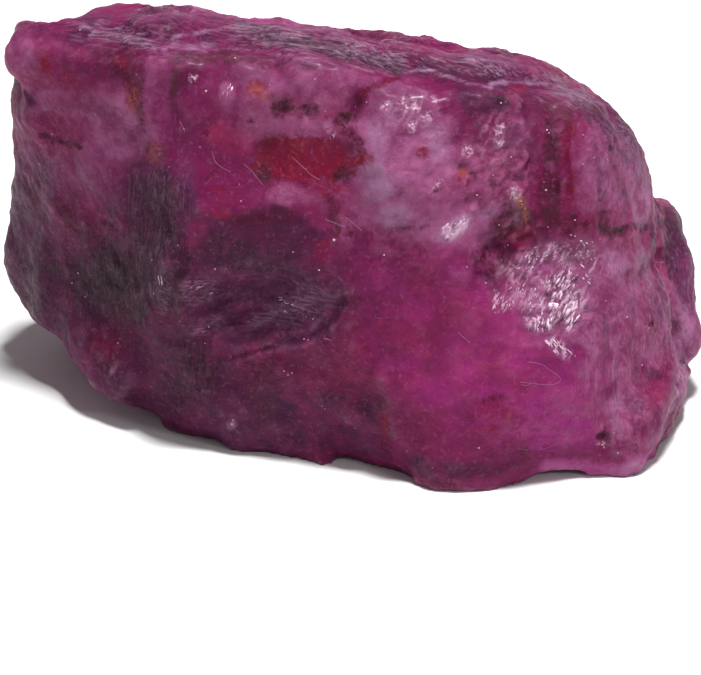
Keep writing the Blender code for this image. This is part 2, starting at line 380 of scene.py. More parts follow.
# Each row is a Patch: across, down, wide, tall, turn, strength and edge.
PATCHES: dict[Tint | Field, tuple[tuple[float, ...], ...]] = {
    # plum rows: partly the stone's dark plum tone, partly painted shade along the left edge, the lower side,
    # the block's end and the scar
    T.PLUM: (
        (60, 290, 130, 80, 14, 0.65, 0.8), (150, 320, 110, 90, 20, 0.50, 0.8),
        (235, 270, 90, 50, 0, 0.45, 0.8), (325, 300, 50, 60, 10, 0.4, 0.8), (260, 370, 90, 40, 0, 0.35, 0.8),
        (200, 415, 170, 60, 10, 0.8, 0.8), (200, 20, 170, 18, 2, 0.4, 0.8), (420, 46, 120, 14, 8, 0.35, 0.8),
        (106, 60, 50, 24, 10, 0.45, 0.8), (70, 200, 70, 60, 0, 0.25, 0.8), (300, 290, 60, 50, 0, 0.35, 0.8),
        (20, 230, 40, 100, 0, 0.8, 0.7), (10, 200, 16, 60, 0, 0.8, 0.7), (44, 305, 40, 40, 20, 0.5, 0.8),
        (402, 104, 38, 20, 0, 0.38, 0.8), (500, 280, 24, 14, -40, 0.5, 0.8), (638, 405, 14, 12, 0, 0.35, 0.8),
        (424, 128, 16, 12, 0, 0.25, 0.8), (580, 84, 26, 12, 26, 0.7, 0.8), (252, 78, 26, 14, 0, 0.28, 0.8),
        (532, 266, 22, 11, -20, 0.3, 0.8), (190, 60, 20, 10, 0, 0.35, 0.8), (36, 198, 18, 24, 0, 0.5, 0.8),
        (46, 36, 22, 12, 0, 0.45, 0.8), (104, 338, 34, 24, 0, 0.5, 0.8), (205, 272, 44, 24, 0, 0.6, 0.8),
        (22, 28, 20, 14, 0, 0.45, 0.8), (500, 96, 60, 22, 10, 0.5, 0.8), (505, 135, 50, 30, 0, 0.3, 0.8),
        (200, 275, 110, 32, 0, 0.35, 0.8), (100, 325, 60, 34, 0, 0.4, 0.8), (200, 428, 90, 34, 8, 0.5, 0.8),
        (612, 110, 44, 34, 34, 0.8, 0.7), (640, 160, 14, 40, -14, 0.4, 0.8), (82, 42, 36, 8, 10, 0.7),
        (30, 102, 5, 9, 0, 0.5), (40, 225, 44, 44, 0, 0.45, 0.7), (84, 232, 14, 22, -30, 0.6),
        (36, 288, 28, 26, 0, 0.7), (145, 212, 46, 56, 5, 0.85, 0.5), (110, 292, 66, 46, 8, 0.9, 0.5),
        (180, 310, 20, 50, 0, 0.7), (165, 375, 80, 48, 6, 0.85, 0.5), (235, 410, 70, 44, 8, 0.75, 0.5),
        (350, 425, 46, 40, 0, 0.75, 0.5), (474, 102, 26, 16, 20, 0.8), (262, 236, 66, 27, 4, 0.95, 0.4),
        (250, 266, 62, 10, 4, 0.75), (240, 300, 80, 44, -8, 0.4, 0.6), (268, 286, 50, 15, -24, 0.8),
        (430, 470, 50, 14, 6, 0.8), (500, 468, 40, 10, -4, 0.5), (520, 235, 40, 30, 10, 0.4, 0.5),
        (672, 240, 26, 36, 0, 0.7, 0.5), (674, 222, 24, 24, 0, 0.8), (664, 262, 12, 30, 0, 0.85),
        (652, 374, 20, 8, 10, 0.4), (180, 34, 140, 14, 4, 0.5, 0.6), (500, 82, 90, 20, 14, 0.6, 0.6),
        (622, 128, 20, 50, -28, 0.45), (580, 96, 44, 14, 28, 0.6, 0.7), (308, 64, 40, 8, 8, 0.45, 0.8),
    ),
    T.WINE: (
        (250, 320, 160, 100, 0, 0.6, 0.8), (210, 190, 60, 60, 0, 0.30, 0.8), (480, 80, 90, 36, 12, 0.4, 0.8),
        (250, 190, 80, 44, 0, 0.4, 0.8), (560, 330, 60, 60, 0, 0.25, 0.8), (640, 410, 40, 60, 0, 0.35, 0.8),
        (120, 70, 60, 40, 0, 0.45, 0.8), (284, 190, 18, 12, 0, 0.5, 0.8), (644, 404, 24, 24, 0, 0.5, 0.8),
        (425, 78, 34, 18, 0, 0.5, 0.8), (440, 130, 60, 40, 0, 0.35, 0.8), (90, 56, 26, 14, 0, 0.5),
        (118, 84, 12, 20, -10, 0.5), (330, 370, 44, 40, 0, 0.6), (324, 200, 16, 18, 0, 0.7),
        (205, 108, 24, 18, 10, 0.5), (148, 58, 16, 10, 0, 0.5), (205, 205, 24, 20, 0, 0.45),
        (343, 94, 11, 6, 20, 0.8), (462, 128, 14, 18, 0, 0.6), (490, 416, 40, 28, 10, 0.9),
        (530, 372, 12, 14, 0, 0.6), (400, 430, 50, 40, 0, 0.4), (553, 322, 7, 14, -20, 0.7),
        (514, 270, 26, 18, -30, 0.6, 0.7), (596, 216, 10, 26, 0, 0.6),
    ),
    T.PURPLE: (
        (30, 210, 44, 60, 0, 0.7, 0.8), (28, 98, 9, 12, 0, 0.6), (20, 215, 16, 46, 4, 0.6),
        (46, 312, 22, 18, 10, 0.6), (72, 352, 14, 28, 0, 0.5), (76, 375, 16, 12, 20, 0.5),
        (235, 425, 40, 24, 10, 0.6), (300, 425, 30, 30, 0, 0.55), (186, 200, 12, 50, 0, 0.5),
        (225, 262, 30, 10, 0, 0.5), (262, 304, 82, 46, -8, 0.8, 0.4), (298, 306, 44, 22, -16, 0.5),
        (330, 295, 14, 22, 20, 0.6), (604, 180, 7, 40, -4, 0.45), (676, 275, 24, 76, 0, 0.75, 0.4),
        (655, 430, 12, 26, 0, 0.3), (510, 70, 40, 12, 12, 0.5), (600, 110, 24, 14, 40, 0.6),
    ),
    T.NIGHT: (
        (24, 300, 26, 28, 20, 0.6), (438, 488, 24, 8, 6, 0.35), (256, 266, 46, 8, 4, 0.45),
        (110, 290, 60, 40, 0, 0.3), (40, 266, 30, 9, 4, 0.8), (152, 225, 30, 50, 4, 0.8),
        (122, 284, 62, 36, 6, 0.95, 0.5), (140, 312, 12, 20, 0, 0.6), (176, 270, 16, 50, 0, 0.8),
        (150, 272, 36, 26, 0, 0.5), (190, 370, 34, 34, 0, 0.55), (150, 400, 50, 12, 10, 0.4),
        (624, 122, 9, 42, -34, 0.6), (658, 226, 9, 14, 0, 0.6), (662, 258, 10, 30, 0, 0.5),
        (672, 224, 16, 20, 0, 0.5), (662, 262, 6, 24, 0, 0.5),
    ),
    T.BLOOD: (
        (330, 190, 22, 9, 0, 0.5, 0.8), (46, 63, 5, 15, -20, 1.0), (70, 77, 9, 7, 20, 0.65),
        (146, 122, 3, 8, 0, 0.5), (102, 350, 13, 16, 0, 0.12), (384, 424, 5, 18, 0, 0.5),
        (308, 160, 58, 25, 2, 0.95, 0.4), (322, 250, 16, 13, 0, 0.5), (329, 117, 6, 3, 0, 0.6),
        (494, 416, 24, 18, 10, 0.35), (525, 238, 24, 16, 0, 0.4), (519, 89, 11, 5, 4, 0.9, 0.5),
    ),
    T.ROSE: (
        (274, 134, 20, 12, 0, 0.5, 0.8), (300, 122, 70, 34, 0, 0.6), (228, 138, 30, 20, 0, 0.6),
        (480, 190, 50, 50, 0, 0.5, 0.8), (390, 340, 80, 100, 0, 0.25, 0.9), (520, 400, 120, 60, 0, 0.2, 0.8),
        (495, 340, 40, 40, 0, 0.3), (625, 400, 50, 70, 0, 0.4, 0.8), (195, 28, 46, 6, 0, 0.6),
    ),
    # lilac rows: pale streaks, and painted highlights on the lobe, the bulge and the lower right
    T.LILAC: (
        (644, 212, 12, 20, 0, 0.5), (402, 216, 28, 12, 0, 0.35), (24, 160, 10, 24, -6, 0.15),
        (84, 382, 16, 5, 24, 0.35), (114, 368, 3, 9, 30, 0.3), (232, 424, 6, 6, 0, 0.5),
        (327, 126, 4.5, 4, 0, 0.8), (384, 132, 16, 30, 0, 0.4), (436, 146, 16, 22, 0, 0.4),
        (456, 226, 24, 12, -40, 0.6), (375, 178, 20, 26, 0, 0.85, 0.9), (484, 214, 9, 8, 0, 0.5),
        (507, 182, 9, 5, 0, 0.5), (640, 180, 12, 40, -14, 0.2), (684, 352, 8, 24, 0, 0.45),
        (616, 262, 18, 20, -20, 0.2), (588, 372, 3, 26, 0, 0.3), (616, 425, 8, 40, 2, 0.2),
        (190, 46, 26, 5, 0, 0.5),
    ),
    T.MAROON: (
        (345, 226, 20, 18, 0, 0.4, 0.8), (118, 70, 26, 22, 10, 0.35), (34, 196, 6, 26, -32, 0.8),
        (68, 218, 7, 25, -36, 0.9), (124, 60, 20, 15, 14, 0.9), (135, 88, 10, 26, -8, 0.95),
        (141, 118, 5, 18, -8, 0.75), (96, 240, 16, 26, 0, 0.5), (130, 318, 34, 22, 0, 0.6),
        (108, 348, 26, 22, 0, 0.95), (265, 372, 36, 20, -10, 0.6), (186, 72, 16, 16, 0, 0.6),
        (206, 134, 4, 4, 0, 0.6), (310, 160, 62, 27, 2, 0.95, 0.35), (348, 146, 16, 20, 0, 0.85, 0.4),
        (286, 166, 8, 8, 0, 0.8), (282, 110, 10, 9, 0, 0.9), (352, 116, 14, 9, -30, 0.6),
        (437, 190, 5, 5, 0, 0.6), (262, 218, 40, 9, 0, 0.7), (385, 320, 80, 120, 0, 0.18, 0.9),
        (520, 420, 90, 50, 0, 0.15, 0.9), (498, 262, 26, 24, 30, 0.8), (552, 196, 14, 34, 0, 0.9),
        (568, 120, 10, 20, 0, 0.6), (575, 222, 20, 12, 0, 0.7), (652, 322, 8, 18, 0, 0.5),
        (605, 438, 9, 14, 0, 0.9), (636, 440, 3, 18, 0, 0.6),
    ),
    # milk rows: the milky veil, and painted sheen on the bulge, the left face and the lower right
    T.MILK: (
        (56, 104, 32, 16, 0, 0.5, 0.8), (588, 186, 12, 24, 0, 0.6, 0.8), (22, 60, 18, 32, 0, 0.6),
        (44, 44, 16, 6, 0, 0.15), (120, 125, 50, 40, 10, 0.65), (160, 90, 16, 44, -4, 0.2),
        (74, 166, 40, 26, 20, 0.35), (54, 228, 7, 30, -10, 0.3), (295, 105, 80, 50, 4, 0.65),
        (286, 196, 36, 13, 4, 0.4), (262, 120, 14, 22, 0, 0.35), (150, 78, 8, 24, 0, 0.25),
        (228, 92, 9, 12, -10, 0.95, 0.4), (405, 150, 56, 72, 8, 0.8, 0.6), (455, 222, 34, 20, -28, 0.7),
        (415, 200, 92, 60, 0, 0.8, 0.8), (375, 175, 28, 34, 0, 0.85), (298, 127, 52, 13, 0, 0.6),
        (476, 226, 30, 24, 0, 0.5), (500, 190, 30, 40, 0, 0.4), (500, 145, 44, 50, 10, 0.35),
        (580, 420, 60, 40, 0, 0.3, 0.8), (470, 262, 46, 26, 0, 0.2), (500, 340, 50, 40, 0, 0.12, 0.8),
        (548, 292, 54, 56, 0, 0.55, 0.5), (615, 160, 40, 60, 0, 0.6, 0.5), (588, 150, 12, 40, 0, 0.35),
        (684, 345, 14, 60, 0, 0.6), (680, 415, 14, 34, 10, 0.5), (618, 320, 50, 100, 0, 0.6, 0.6),
        (630, 420, 22, 50, 0, 0.45), (664, 432, 22, 28, 0, 0.3), (180, 14, 120, 10, 2, 0.3, 0.5),
        (360, 30, 110, 9, 6, 0.45, 0.5), (480, 56, 50, 9, 10, 0.3, 0.5),
    ),
    T.RUST: (
        (47, 66, 3, 9, -20, 0.8), (120, 62, 9, 7, 0, 0.55), (262, 158, 8, 18, 8, 0.6),
        (306, 158, 40, 22, 0, 0.4), (364, 158, 10, 8, 0, 0.95), (270, 143, 12, 5, -24, 0.7),
        (258, 88, 11, 8, 8, 0.9, 0.5), (422, 154, 7, 8, 0, 0.6), (463, 182, 6, 8, 0, 0.6),
    ),
    T.ASH: (
        (52, 168, 18, 22, -20, 0.15), (162, 290, 10, 26, 0, 0.2), (200, 290, 22, 14, -20, 0.3),
        (208, 326, 24, 10, -16, 0.3), (262, 320, 30, 10, -10, 0.35), (300, 306, 40, 18, -16, 0.3),
        (294, 306, 24, 10, -16, 0.25), (622, 128, 8, 34, -24, 0.4), (676, 305, 10, 34, -18, 0.6),
        (646, 275, 6, 34, -14, 0.5), (118, 36, 46, 9, 14, 0.6, 0.5), (470, 66, 56, 10, 12, 0.5),
        (562, 90, 40, 12, 24, 0.5),
    ),
    F.SLANT: (
        (80, 140, 72, 70, 0, 0.4, 0.5), (40, 230, 40, 70, 0, 0.25, 0.5),
    ),
    T.OLIVE: (
        (138, 94, 6, 22, -8, 0.5), (155, 154, 13, 13, 0, 0.6), (262, 405, 20, 24, 0, 0.4),
        (218, 58, 52, 7, 3, 0.95, 0.5), (176, 82, 7, 26, 4, 0.8), (250, 62, 40, 8, 4, 0.5),
        (267, 168, 14, 18, 0, 0.8), (262, 152, 9, 20, 0, 0.5), (348, 158, 18, 18, 0, 0.5),
        (296, 166, 16, 8, 0, 0.5), (306, 144, 34, 7, 0, 0.35), (341, 172, 14, 14, -20, 0.8),
        (270, 97, 8, 3.5, 20, 0.8), (283, 107, 13, 10, 20, 0.85), (307, 110, 15, 9, 0, 0.85),
        (344, 119, 13, 7, -8, 0.7), (477, 126, 6, 6, 0, 0.7), (258, 340, 30, 9, 0, 0.5),
        (524, 450, 6, 12, -30, 0.5), (512, 222, 26, 22, 10, 0.65, 0.5), (556, 116, 16, 22, 0, 0.8),
        (552, 152, 10, 26, 0, 0.8, 0.5), (552, 205, 10, 24, 0, 0.6), (603, 222, 9, 16, 0, 0.8),
        (612, 232, 18, 9, 0, 0.6), (585, 96, 44, 14, 34, 0.5), (228, 52, 18, 4, 0, 0.8),
        (600, 104, 20, 10, 30, 0.5),
    ),
    T.ORANGE: (
        (133, 98, 7, 18, -6, 0.55), (152, 152, 10, 10, 0, 0.5), (260, 94, 10, 8, 20, 0.8),
        (463, 172, 5, 8, 0, 0.8), (525, 216, 4, 10, 0, 0.9), (521, 203, 4, 7, 0, 0.9),
    ),
    T.SOOT: (
        (118, 280, 32, 22, 0, 0.65), (266, 172, 8, 10, 0, 0.7), (341, 174, 9, 9, -20, 0.6),
        (283, 107, 6, 5, 20, 0.35), (307, 110, 5, 4, 0, 0.3), (344, 119, 7, 4, -8, 0.2),
        (500, 99, 13, 6, 12, 0.9), (252, 266, 44, 6, 4, 0.3), (244, 248, 60, 18, 6, 0.3),
        (312, 280, 18, 10, 10, 0.25), (504, 256, 6, 14, 30, 0.3), (487, 277, 9, 6, -20, 0.3),
        (552, 156, 6, 16, 0, 0.25), (604, 226, 7, 9, 0, 0.4), (130, 42, 26, 5, 14, 0.7),
    ),
    F.SILK: (
        (150, 215, 36, 60, 4, 0.65, 0.5), (120, 285, 56, 46, 0, 0.45, 0.5), (182, 160, 10, 80, -4, 0.5, 0.5),
        (612, 165, 44, 62, 0, 0.6, 0.5), (672, 300, 30, 90, 0, 0.8, 0.5), (620, 350, 46, 116, 0, 0.7, 0.4),
    ),
    # painted glow of light through the stone, brightest at the lower right
    T.GLOW: (
        (245, 118, 26, 12, 20, 0.3), (440, 300, 96, 80, 10, 0.22, 0.8), (510, 385, 110, 70, 0, 0.5, 0.8),
        (560, 412, 56, 46, 0, 1.0, 0.8), (430, 380, 50, 40, 0, 0.35), (540, 268, 20, 10, 0, 0.5),
    ),
    # frost rows: pale specks, and painted highlights on the bulge's glossy spots
    T.FROST: (
        (192, 78, 4, 4, 0, 0.5), (332, 134, 2, 8, -18, 0.4), (386, 106, 4.5, 5, 0, 0.45),
        (402, 101, 4, 4, 0, 0.6), (407, 108, 4.5, 4, 0, 0.45), (415, 107, 2.4, 7, -30, 0.7),
        (434, 100, 3.4, 4, 0, 0.6), (423, 118, 3.6, 3.6, 0, 0.45), (430, 117, 2.6, 5, 0, 0.6),
        (412, 127, 4, 7, 10, 0.6), (500, 129, 6, 6, 0, 0.6), (499, 144, 5, 5, 0, 0.5),
        (467, 151, 6, 6, 0, 0.6), (438, 184, 8, 3, -30, 0.5), (449, 231, 7, 6, -30, 1.0),
        (460, 222, 9, 3.6, -40, 0.6), (514, 193, 6, 7, -20, 0.8), (603, 446, 5, 3, 20, 0.5),
    ),
    F.GLOSS: (
        (450, 228, 26, 14, -30, 0.9), (420, 115, 36, 22, 0, 0.4), (495, 150, 26, 34, 0, 0.6),
        (562, 302, 26, 34, 0, 1.0, 0.6), (516, 197, 10, 12, 0, 0.7), (520, 215, 12, 20, 0, 0.6),
    ),
    # chip rows: broken relief, with painted glints on the bulge and the glittering face
    F.CHIPS: (
        (455, 228, 20, 9, -40, 0.9), (410, 112, 32, 20, 0, 0.2), (494, 142, 22, 34, 0, 0.2),
        (546, 290, 50, 46, 0, 0.4, 0.6), (563, 296, 19, 32, 10, 0.9, 0.5), (541, 324, 16, 9, 0, 1.0),
        (500, 303, 9, 14, -20, 0.8), (560, 348, 20, 6, 44, 1.0), (556, 252, 34, 10, -10, 0.5),
        (590, 262, 12, 24, -20, 0.5),
    ),
    F.SWEEP: (
        (255, 245, 70, 30, 0, 0.2, 0.6), (262, 304, 82, 48, -8, 0.4, 0.6),
    ),
    # glittering face: its lighter ground is painted sheen
    F.GLITTER: (
        (548, 295, 46, 50, 0, 0.4, 0.6), (563, 290, 16, 20, 10, 0.6, 0.5), (570, 315, 9, 18, -16, 1.0, 0.5),
        (538, 305, 16, 16, 0, 0.8, 0.5), (541, 324, 14, 9, 0, 0.6, 0.5), (518, 296, 20, 18, 0, 0.3, 0.5),
        (498, 304, 8, 13, -20, 0.5, 0.5), (550, 252, 28, 10, 0, 0.35, 0.5), (528, 262, 12, 10, -30, 0.2, 0.5),
        (586, 250, 12, 22, -20, 0.6, 0.6), (592, 276, 12, 14, -20, 0.5, 0.6), (558, 350, 19, 5, 44, 1.0, 0.5),
    ),
    F.COMB: (
        (300, 46, 250, 22, 6, 0.8, 0.4), (130, 38, 80, 18, 10, 1.0, 0.4), (530, 82, 80, 22, 16, 0.7, 0.4),
    ),
}

# Each row is a soft line of a tint: its points, half its width in steps and its strength.
TRACES: dict[Tint | Field, tuple[tuple[Path, float, float], ...]] = {
    # plum lines: painted shade along the scar's lower rim and the block's edges, with some dark plum tone
    T.PLUM: (
        (((18, 132), (32, 134), (44, 137)), 3, 0.5),
        (((280, 342), (300, 338), (318, 330), (334, 316), (344, 298), (338, 280)), 4, 0.7),
        (((588, 118), (596, 150), (600, 200)), 3, 0.6), (((612, 128), (616, 160), (626, 205)), 4, 0.45),
        (((604, 300), (606, 340), (603, 372)), 4, 0.4), (((634, 300), (632, 350), (640, 384)), 5, 0.35),
        (((400, 66), (430, 68), (452, 73), (480, 84)), 5, 0.8),
    ),
    T.MAROON: (
        (((42, 135), (56, 140), (68, 142), (80, 147)), 3.4, 0.95),
        (((376, 396), (384, 412), (384, 432), (388, 448)), 6, 0.8), (((242, 124), (251, 118)), 2.4, 0.7),
        (((205, 181), (212, 173)), 2.6, 0.8),
        (((395, 75), (384, 83), (372, 90), (361, 96), (358, 106), (350, 116)), 5, 0.9),
        (((346, 117), (350, 128), (352, 140)), 6, 0.7), (((328, 180), (330, 198), (333, 214)), 5, 0.85),
        (((384, 234), (400, 226), (426, 230)), 4, 0.4), (((234, 357), (252, 352), (276, 346)), 2, 0.9),
        (((484, 402), (497, 398), (508, 402)), 3, 0.7), (((566, 150), (570, 190)), 3, 0.8),
        (((602, 228), (616, 232), (628, 228), (644, 228)), 4, 0.8),
    ),
    T.SOOT: (
        (((46, 136), (58, 141), (74, 145)), 1.4, 0.4), (((600, 226), (614, 230), (626, 228)), 2.6, 0.5),
        (((246, 28), (272, 34), (300, 42), (350, 54), (398, 65)), 9, 0.95),
    ),
    T.BLOOD: (
        (((216, 191), (223, 195)), 3, 0.8), (((214, 213), (224, 216), (234, 212)), 3, 0.8),
        (((392, 77), (378, 87), (362, 95)), 2.4, 0.5), (((567, 128), (567, 160), (571, 196)), 6, 0.5),
        (((661, 246), (662, 262)), 2, 0.7),
    ),
    T.OLIVE: (
        (((332, 204), (335, 225), (338, 246)), 4.5, 0.6),
    ),
    T.WINE: (
        (((452, 208), (470, 203), (490, 196), (498, 186)), 4, 0.8),
        (((534, 118), (536, 150), (540, 190)), 6, 0.6), (((578, 120), (580, 160), (584, 205)), 4, 0.6),
    ),
    # painted glow along the lower right rim, which faces down and would be in shade
    T.GLOW: (
        (((548, 468), (575, 470), (620, 471), (652, 460)), 8, 1.0),
    ),
    # painted sheen along the lower right rim
    T.MILK: (
        (((548, 467), (575, 469), (620, 470), (650, 460)), 7, 0.7),
    ),
    # lilac lines: painted light along the lower right rim, and pale fibres along the top edge
    T.LILAC: (
        (((600, 470), (625, 470), (648, 462)), 4, 0.5),
        (((64, 22), (100, 31), (136, 43), (166, 50)), 1.4, 0.45),
        (((174, 38), (208, 30), (246, 28)), 1.3, 0.5),
        (((176, 51), (230, 49), (270, 52), (300, 58), (350, 66), (396, 76)), 1.2, 0.3),
        (((404, 72), (418, 68), (442, 75), (466, 81), (490, 87)), 1.2, 0.5),
        (((490, 86), (520, 82), (545, 84), (575, 95), (600, 104)), 1.5, 0.8),
    ),
    T.ASH: (
        (((240, 30), (290, 38), (340, 48), (398, 62)), 11, 0.8),
    ),
}

EASINGS: tuple[Easing, ...] = (
    Easing((-9.8, 0.3, 10.1), 2.6, 1.0, False, 117),
    Easing((-9.2, -0.1, 9.0), 2.4, 0.8, True, 365),
    Easing((-8.3, -1.8, 2.6), 2.6, 0.9, False, 290),
    Easing((5.2, -3.9, 7.6), 2.8, 0.9, True),
    Easing((6.5, -3.9, 7.8), 2.4, 0.7),
    Easing((6.1, -3.4, 10.2), 2.2, 0.75, True),
    Easing((8.6, -3.0, 7.6), 2.4, 0.9, True, 365),
    Easing((7.8, -3.6, 9.4), 3.2, 0.7),
    Easing((8.8, -3.4, 5.0), 3.2, 0.6),
    Easing((10.5, -0.9, 1.7), 1.9, 1.0, True, 365),
    Easing((-8.6, -1.4, 1.8), 2.2, 0.6),
    Easing((-2.6, -4.6, 5.6), 3.4, 0.6),
    Easing((7.8, -5.3, 1.6), 1.4, 0.7, True),
)

SWELLINGS: tuple[Swelling, ...] = (
    Swelling((10.6, -0.8, 1.5), 1.9, 0.60),
    Swelling((-10.8, 0.6, 11.3), 1.2, 0.28),
    Swelling((-10.9, 0.6, 10.2), 1.2, -0.25),
    Swelling((10.0, -3.0, 3.2), 2.2, 0.12),
    Swelling((-10.6, 0.8, 8.7), 2.2, -0.22),
    Swelling((-9.8, 0.6, 10.2), 1.9, 1.2),
)

NUDGES: tuple[Nudge, ...] = (
    Nudge((-10.4, 0.3, 12.9), 0.9, (-0.20, 0.0, 0.0)),
    Nudge((-10.5, 0.3, 11.4), 1.1, (-0.30, 0.0, 0.0)),
    Nudge((-10.6, 0.7, 10.4), 1.1, (0.32, 0.0, 0.0)),
    Nudge((-8.0, 1.0, 13.2), 2.2, (0.0, 0.0, -0.36)),
    Nudge((10.2, -4.0, 0.3), 2.2, (-0.50, 0.22, 0.0)),
    Nudge((10.8, -0.5, 2.2), 1.9, (-0.20, 0.0, 0.0)),
    Nudge((10.6, 0.8, 5.2), 1.6, (-0.10, 0.0, -0.40)),
    Nudge((7.8, -2.2, 11.7), 1.2, (-0.10, 0.0, -0.20)),
)

# Each row is a cut, or with a negative depth a raised line: its points, half width in steps and depth in mm.
FURROWS: tuple[tuple[Path, float, float], ...] = (
    (((44, 135), (56, 140), (68, 142), (80, 147)), 3, 0.05), (((24, 180), (34, 198), (44, 216)), 6, 0.05),
    (((58, 200), (70, 218), (82, 236)), 6, 0.06), (((602, 214), (605, 234), (628, 229), (646, 227)), 5, 0.06),
    (((566, 122), (567, 160), (571, 196)), 4, 0.05), (((234, 357), (252, 352), (276, 346)), 2.5, 0.05),
    (((280, 342), (300, 338), (318, 330), (334, 315), (343, 298)), 5, 0.10),
    (((206, 290), (236, 284), (262, 288), (286, 280)), 5, 0.07),
    (((452, 208), (470, 203), (492, 196)), 5, 0.04), (((395, 75), (372, 89), (360, 98), (356, 112)), 4, 0.05),
    (((380, 400), (385, 430), (390, 456)), 5, 0.05), (((640, 371), (654, 375), (672, 382)), 5, 0.03),
    (((682, 384), (686, 390), (692, 396)), 5, 0.20), (((174, 38), (208, 30), (246, 28)), 3, -0.05),
    (((64, 22), (100, 31), (136, 43), (166, 50)), 3, -0.05), (((404, 72), (442, 75), (490, 87)), 3, -0.03),
    (((252, 34), (300, 46), (350, 57), (398, 67)), 4, 0.06),
)

# Each row is a round hollow, or with a negative depth a bead: its place and radius in steps, and depth in mm.
PITS: tuple[Row, ...] = (
    (283, 107, 8, 0.07), (307, 110, 8, 0.06), (344, 119, 7, 0.05), (605, 438, 8, 0.14), (504, 256, 9, 0.10),
    (487, 277, 8, 0.08), (192, 78, 4, -0.06), (228, 92, 9, -0.05), (449, 231, 7, -0.06), (407, 108, 4, -0.03),
    (423, 118, 4, -0.03), (500, 129, 6, -0.06),
)

RUBBLE: tuple[Rubble, ...] = (
    Rubble(515, 235, 40, 36, 10, 0.40, 0.10),
    Rubble(553, 160, 18, 60, 0, 0.35, 0.07),
    Rubble(548, 295, 56, 60, 0, 0.30, 0.11),
    Rubble(606, 160, 30, 60, 0, 0.36, 0.07),
    Rubble(640, 330, 50, 110, 0, 0.45, 0.05),
    Rubble(105, 350, 34, 30, 0, 0.45, 0.06),
    Rubble(664, 262, 16, 40, 0, 0.40, 0.10),
    Rubble(308, 150, 62, 34, 0, 0.35, 0.03),
    Rubble(430, 150, 60, 80, 10, 0.50, 0.09),
    Rubble(500, 165, 44, 70, 10, 0.36, 0.12),
    Rubble(606, 438, 16, 18, 0, 0.30, 0.08),
    Rubble(262, 305, 80, 46, -8, 0.40, 0.05),
)

FIBRES: tuple[Fibres, ...] = (
    Fibres(140, 250, 60, 90, 8, 84, 0.30, 0.035),
    Fibres(70, 170, 60, 90, 0, 64, 0.34, 0.025),
    Fibres(615, 165, 45, 62, 0, 84, 0.34, 0.035),
    Fibres(620, 350, 56, 120, 0, 88, 0.34, 0.030),
    Fibres(676, 300, 30, 90, 0, 80, 0.34, 0.035),
    Fibres(300, 46, 260, 26, 6, 8, 0.24, 0.045),
    Fibres(120, 36, 80, 20, 12, 14, 0.24, 0.045),
    Fibres(262, 305, 84, 50, -8, -20, 0.28, 0.040),
)

# Each row is a SpeckAndGlint: a pale grain, most often a painted glint.
SPECKS_AND_GLINTS: tuple[Row, ...] = (
    (178, 245, 1.9), (152, 260, 1.6), (163, 262, 1.7), (132, 309, 2.0), (134, 311, 1.2), (78, 273, 1.7),
    (94, 270, 1.4), (72, 283, 1.5), (118, 343, 1.6), (108, 220, 1.6), (52, 134, 1.3), (184, 129, 1.3),
    (80, 30, 1.4), (206, 91, 1.7), (192, 77, 1.6), (226, 83, 1.5), (235, 58, 1.5), (315, 79, 1.4),
    (241, 201, 1.4), (200, 147, 1.3), (312, 232, 1.2), (270, 85, 1.2), (262, 99, 1.4), (384, 255, 1.5),
    (334, 240, 2.2), (394, 188, 1.3), (387, 105, 2.0), (407, 108, 2.1), (402, 101, 1.5), (423, 118, 1.7),
    (430, 116, 1.3), (412, 125, 1.7), (434, 100, 1.4), (418, 112, 1.2), (500, 127, 2.1), (503, 124, 1.2),
    (498, 131, 1.4), (466, 148, 1.4), (464, 154, 1.3), (470, 153, 1.3), (511, 157, 1.2), (493, 175, 1.2),
    (440, 183, 1.2), (447, 232, 2.3), (450, 228, 2.2), (452, 234, 1.9), (455, 224, 1.5), (459, 220, 1.4),
    (477, 195, 1.2), (514, 194, 2.0), (518, 197, 1.7), (520, 200, 1.9, 1.0), (522, 204, 1.7, 0.9),
    (525, 208, 1.0, 1.0), (513, 192, 3.2, 0.25), (516, 197, 3.0, 0.5), (521, 201, 2.6, 1.0), (499, 225, 1.3),
    (479, 245, 1.8, 0.4), (511, 241, 1.3, 0.5), (508, 245, 1.2), (545, 222, 1.3), (548, 227, 1.3),
    (546, 190, 1.9), (544, 182, 1.2), (561, 209, 1.6), (575, 220, 1.6), (594, 158, 1.8), (583, 135, 1.5),
    (583, 164, 1.2), (541, 127, 1.2), (547, 130, 1.6), (549, 133, 1.2), (561, 107, 1.3), (590, 103, 1.2),
    (501, 103, 1.4), (493, 113, 1.3, 0.4), (571, 235, 1.6), (575, 236, 1.3), (581, 241, 2.0), (583, 243, 1.3),
    (467, 267, 1.7), (486, 283, 1.4), (595, 258, 1.3), (627, 317, 1.5), (649, 328, 1.8), (606, 301, 1.3),
    (642, 365, 1.3), (575, 356, 1.2), (600, 239, 1.2), (602, 445, 1.7), (604, 447, 1.4), (614, 433, 1.5),
    (618, 453, 1.4), (620, 450, 1.3), (479, 448, 1.2), (451, 486, 1.5), (390, 393, 1.4), (318, 425, 1.3),
    (322, 406, 1.3), (325, 409, 1.4), (198, 427, 1.8), (232, 424, 2.6), (233, 420, 1.7), (215, 269, 1.7),
    (316, 263, 1.4), (319, 270, 1.6), (285, 302, 1.7), (296, 301, 1.5), (285, 311, 1.9), (306, 317, 1.4),
    (313, 319, 1.6), (286, 328, 1.4), (318, 330, 1.5), (308, 340, 1.4), (304, 339, 1.2), (327, 339, 1.2),
    (284, 371, 1.2, 0.3), (288, 375, 1.3, 0.3), (292, 373, 1.1, 0.3), (285, 378, 1.0, 0.4), (209, 327, 1.6),
    (203, 332, 1.2), (206, 335, 1.2), (197, 307, 1.3), (180, 321, 1.4), (293, 252, 1.2),
)

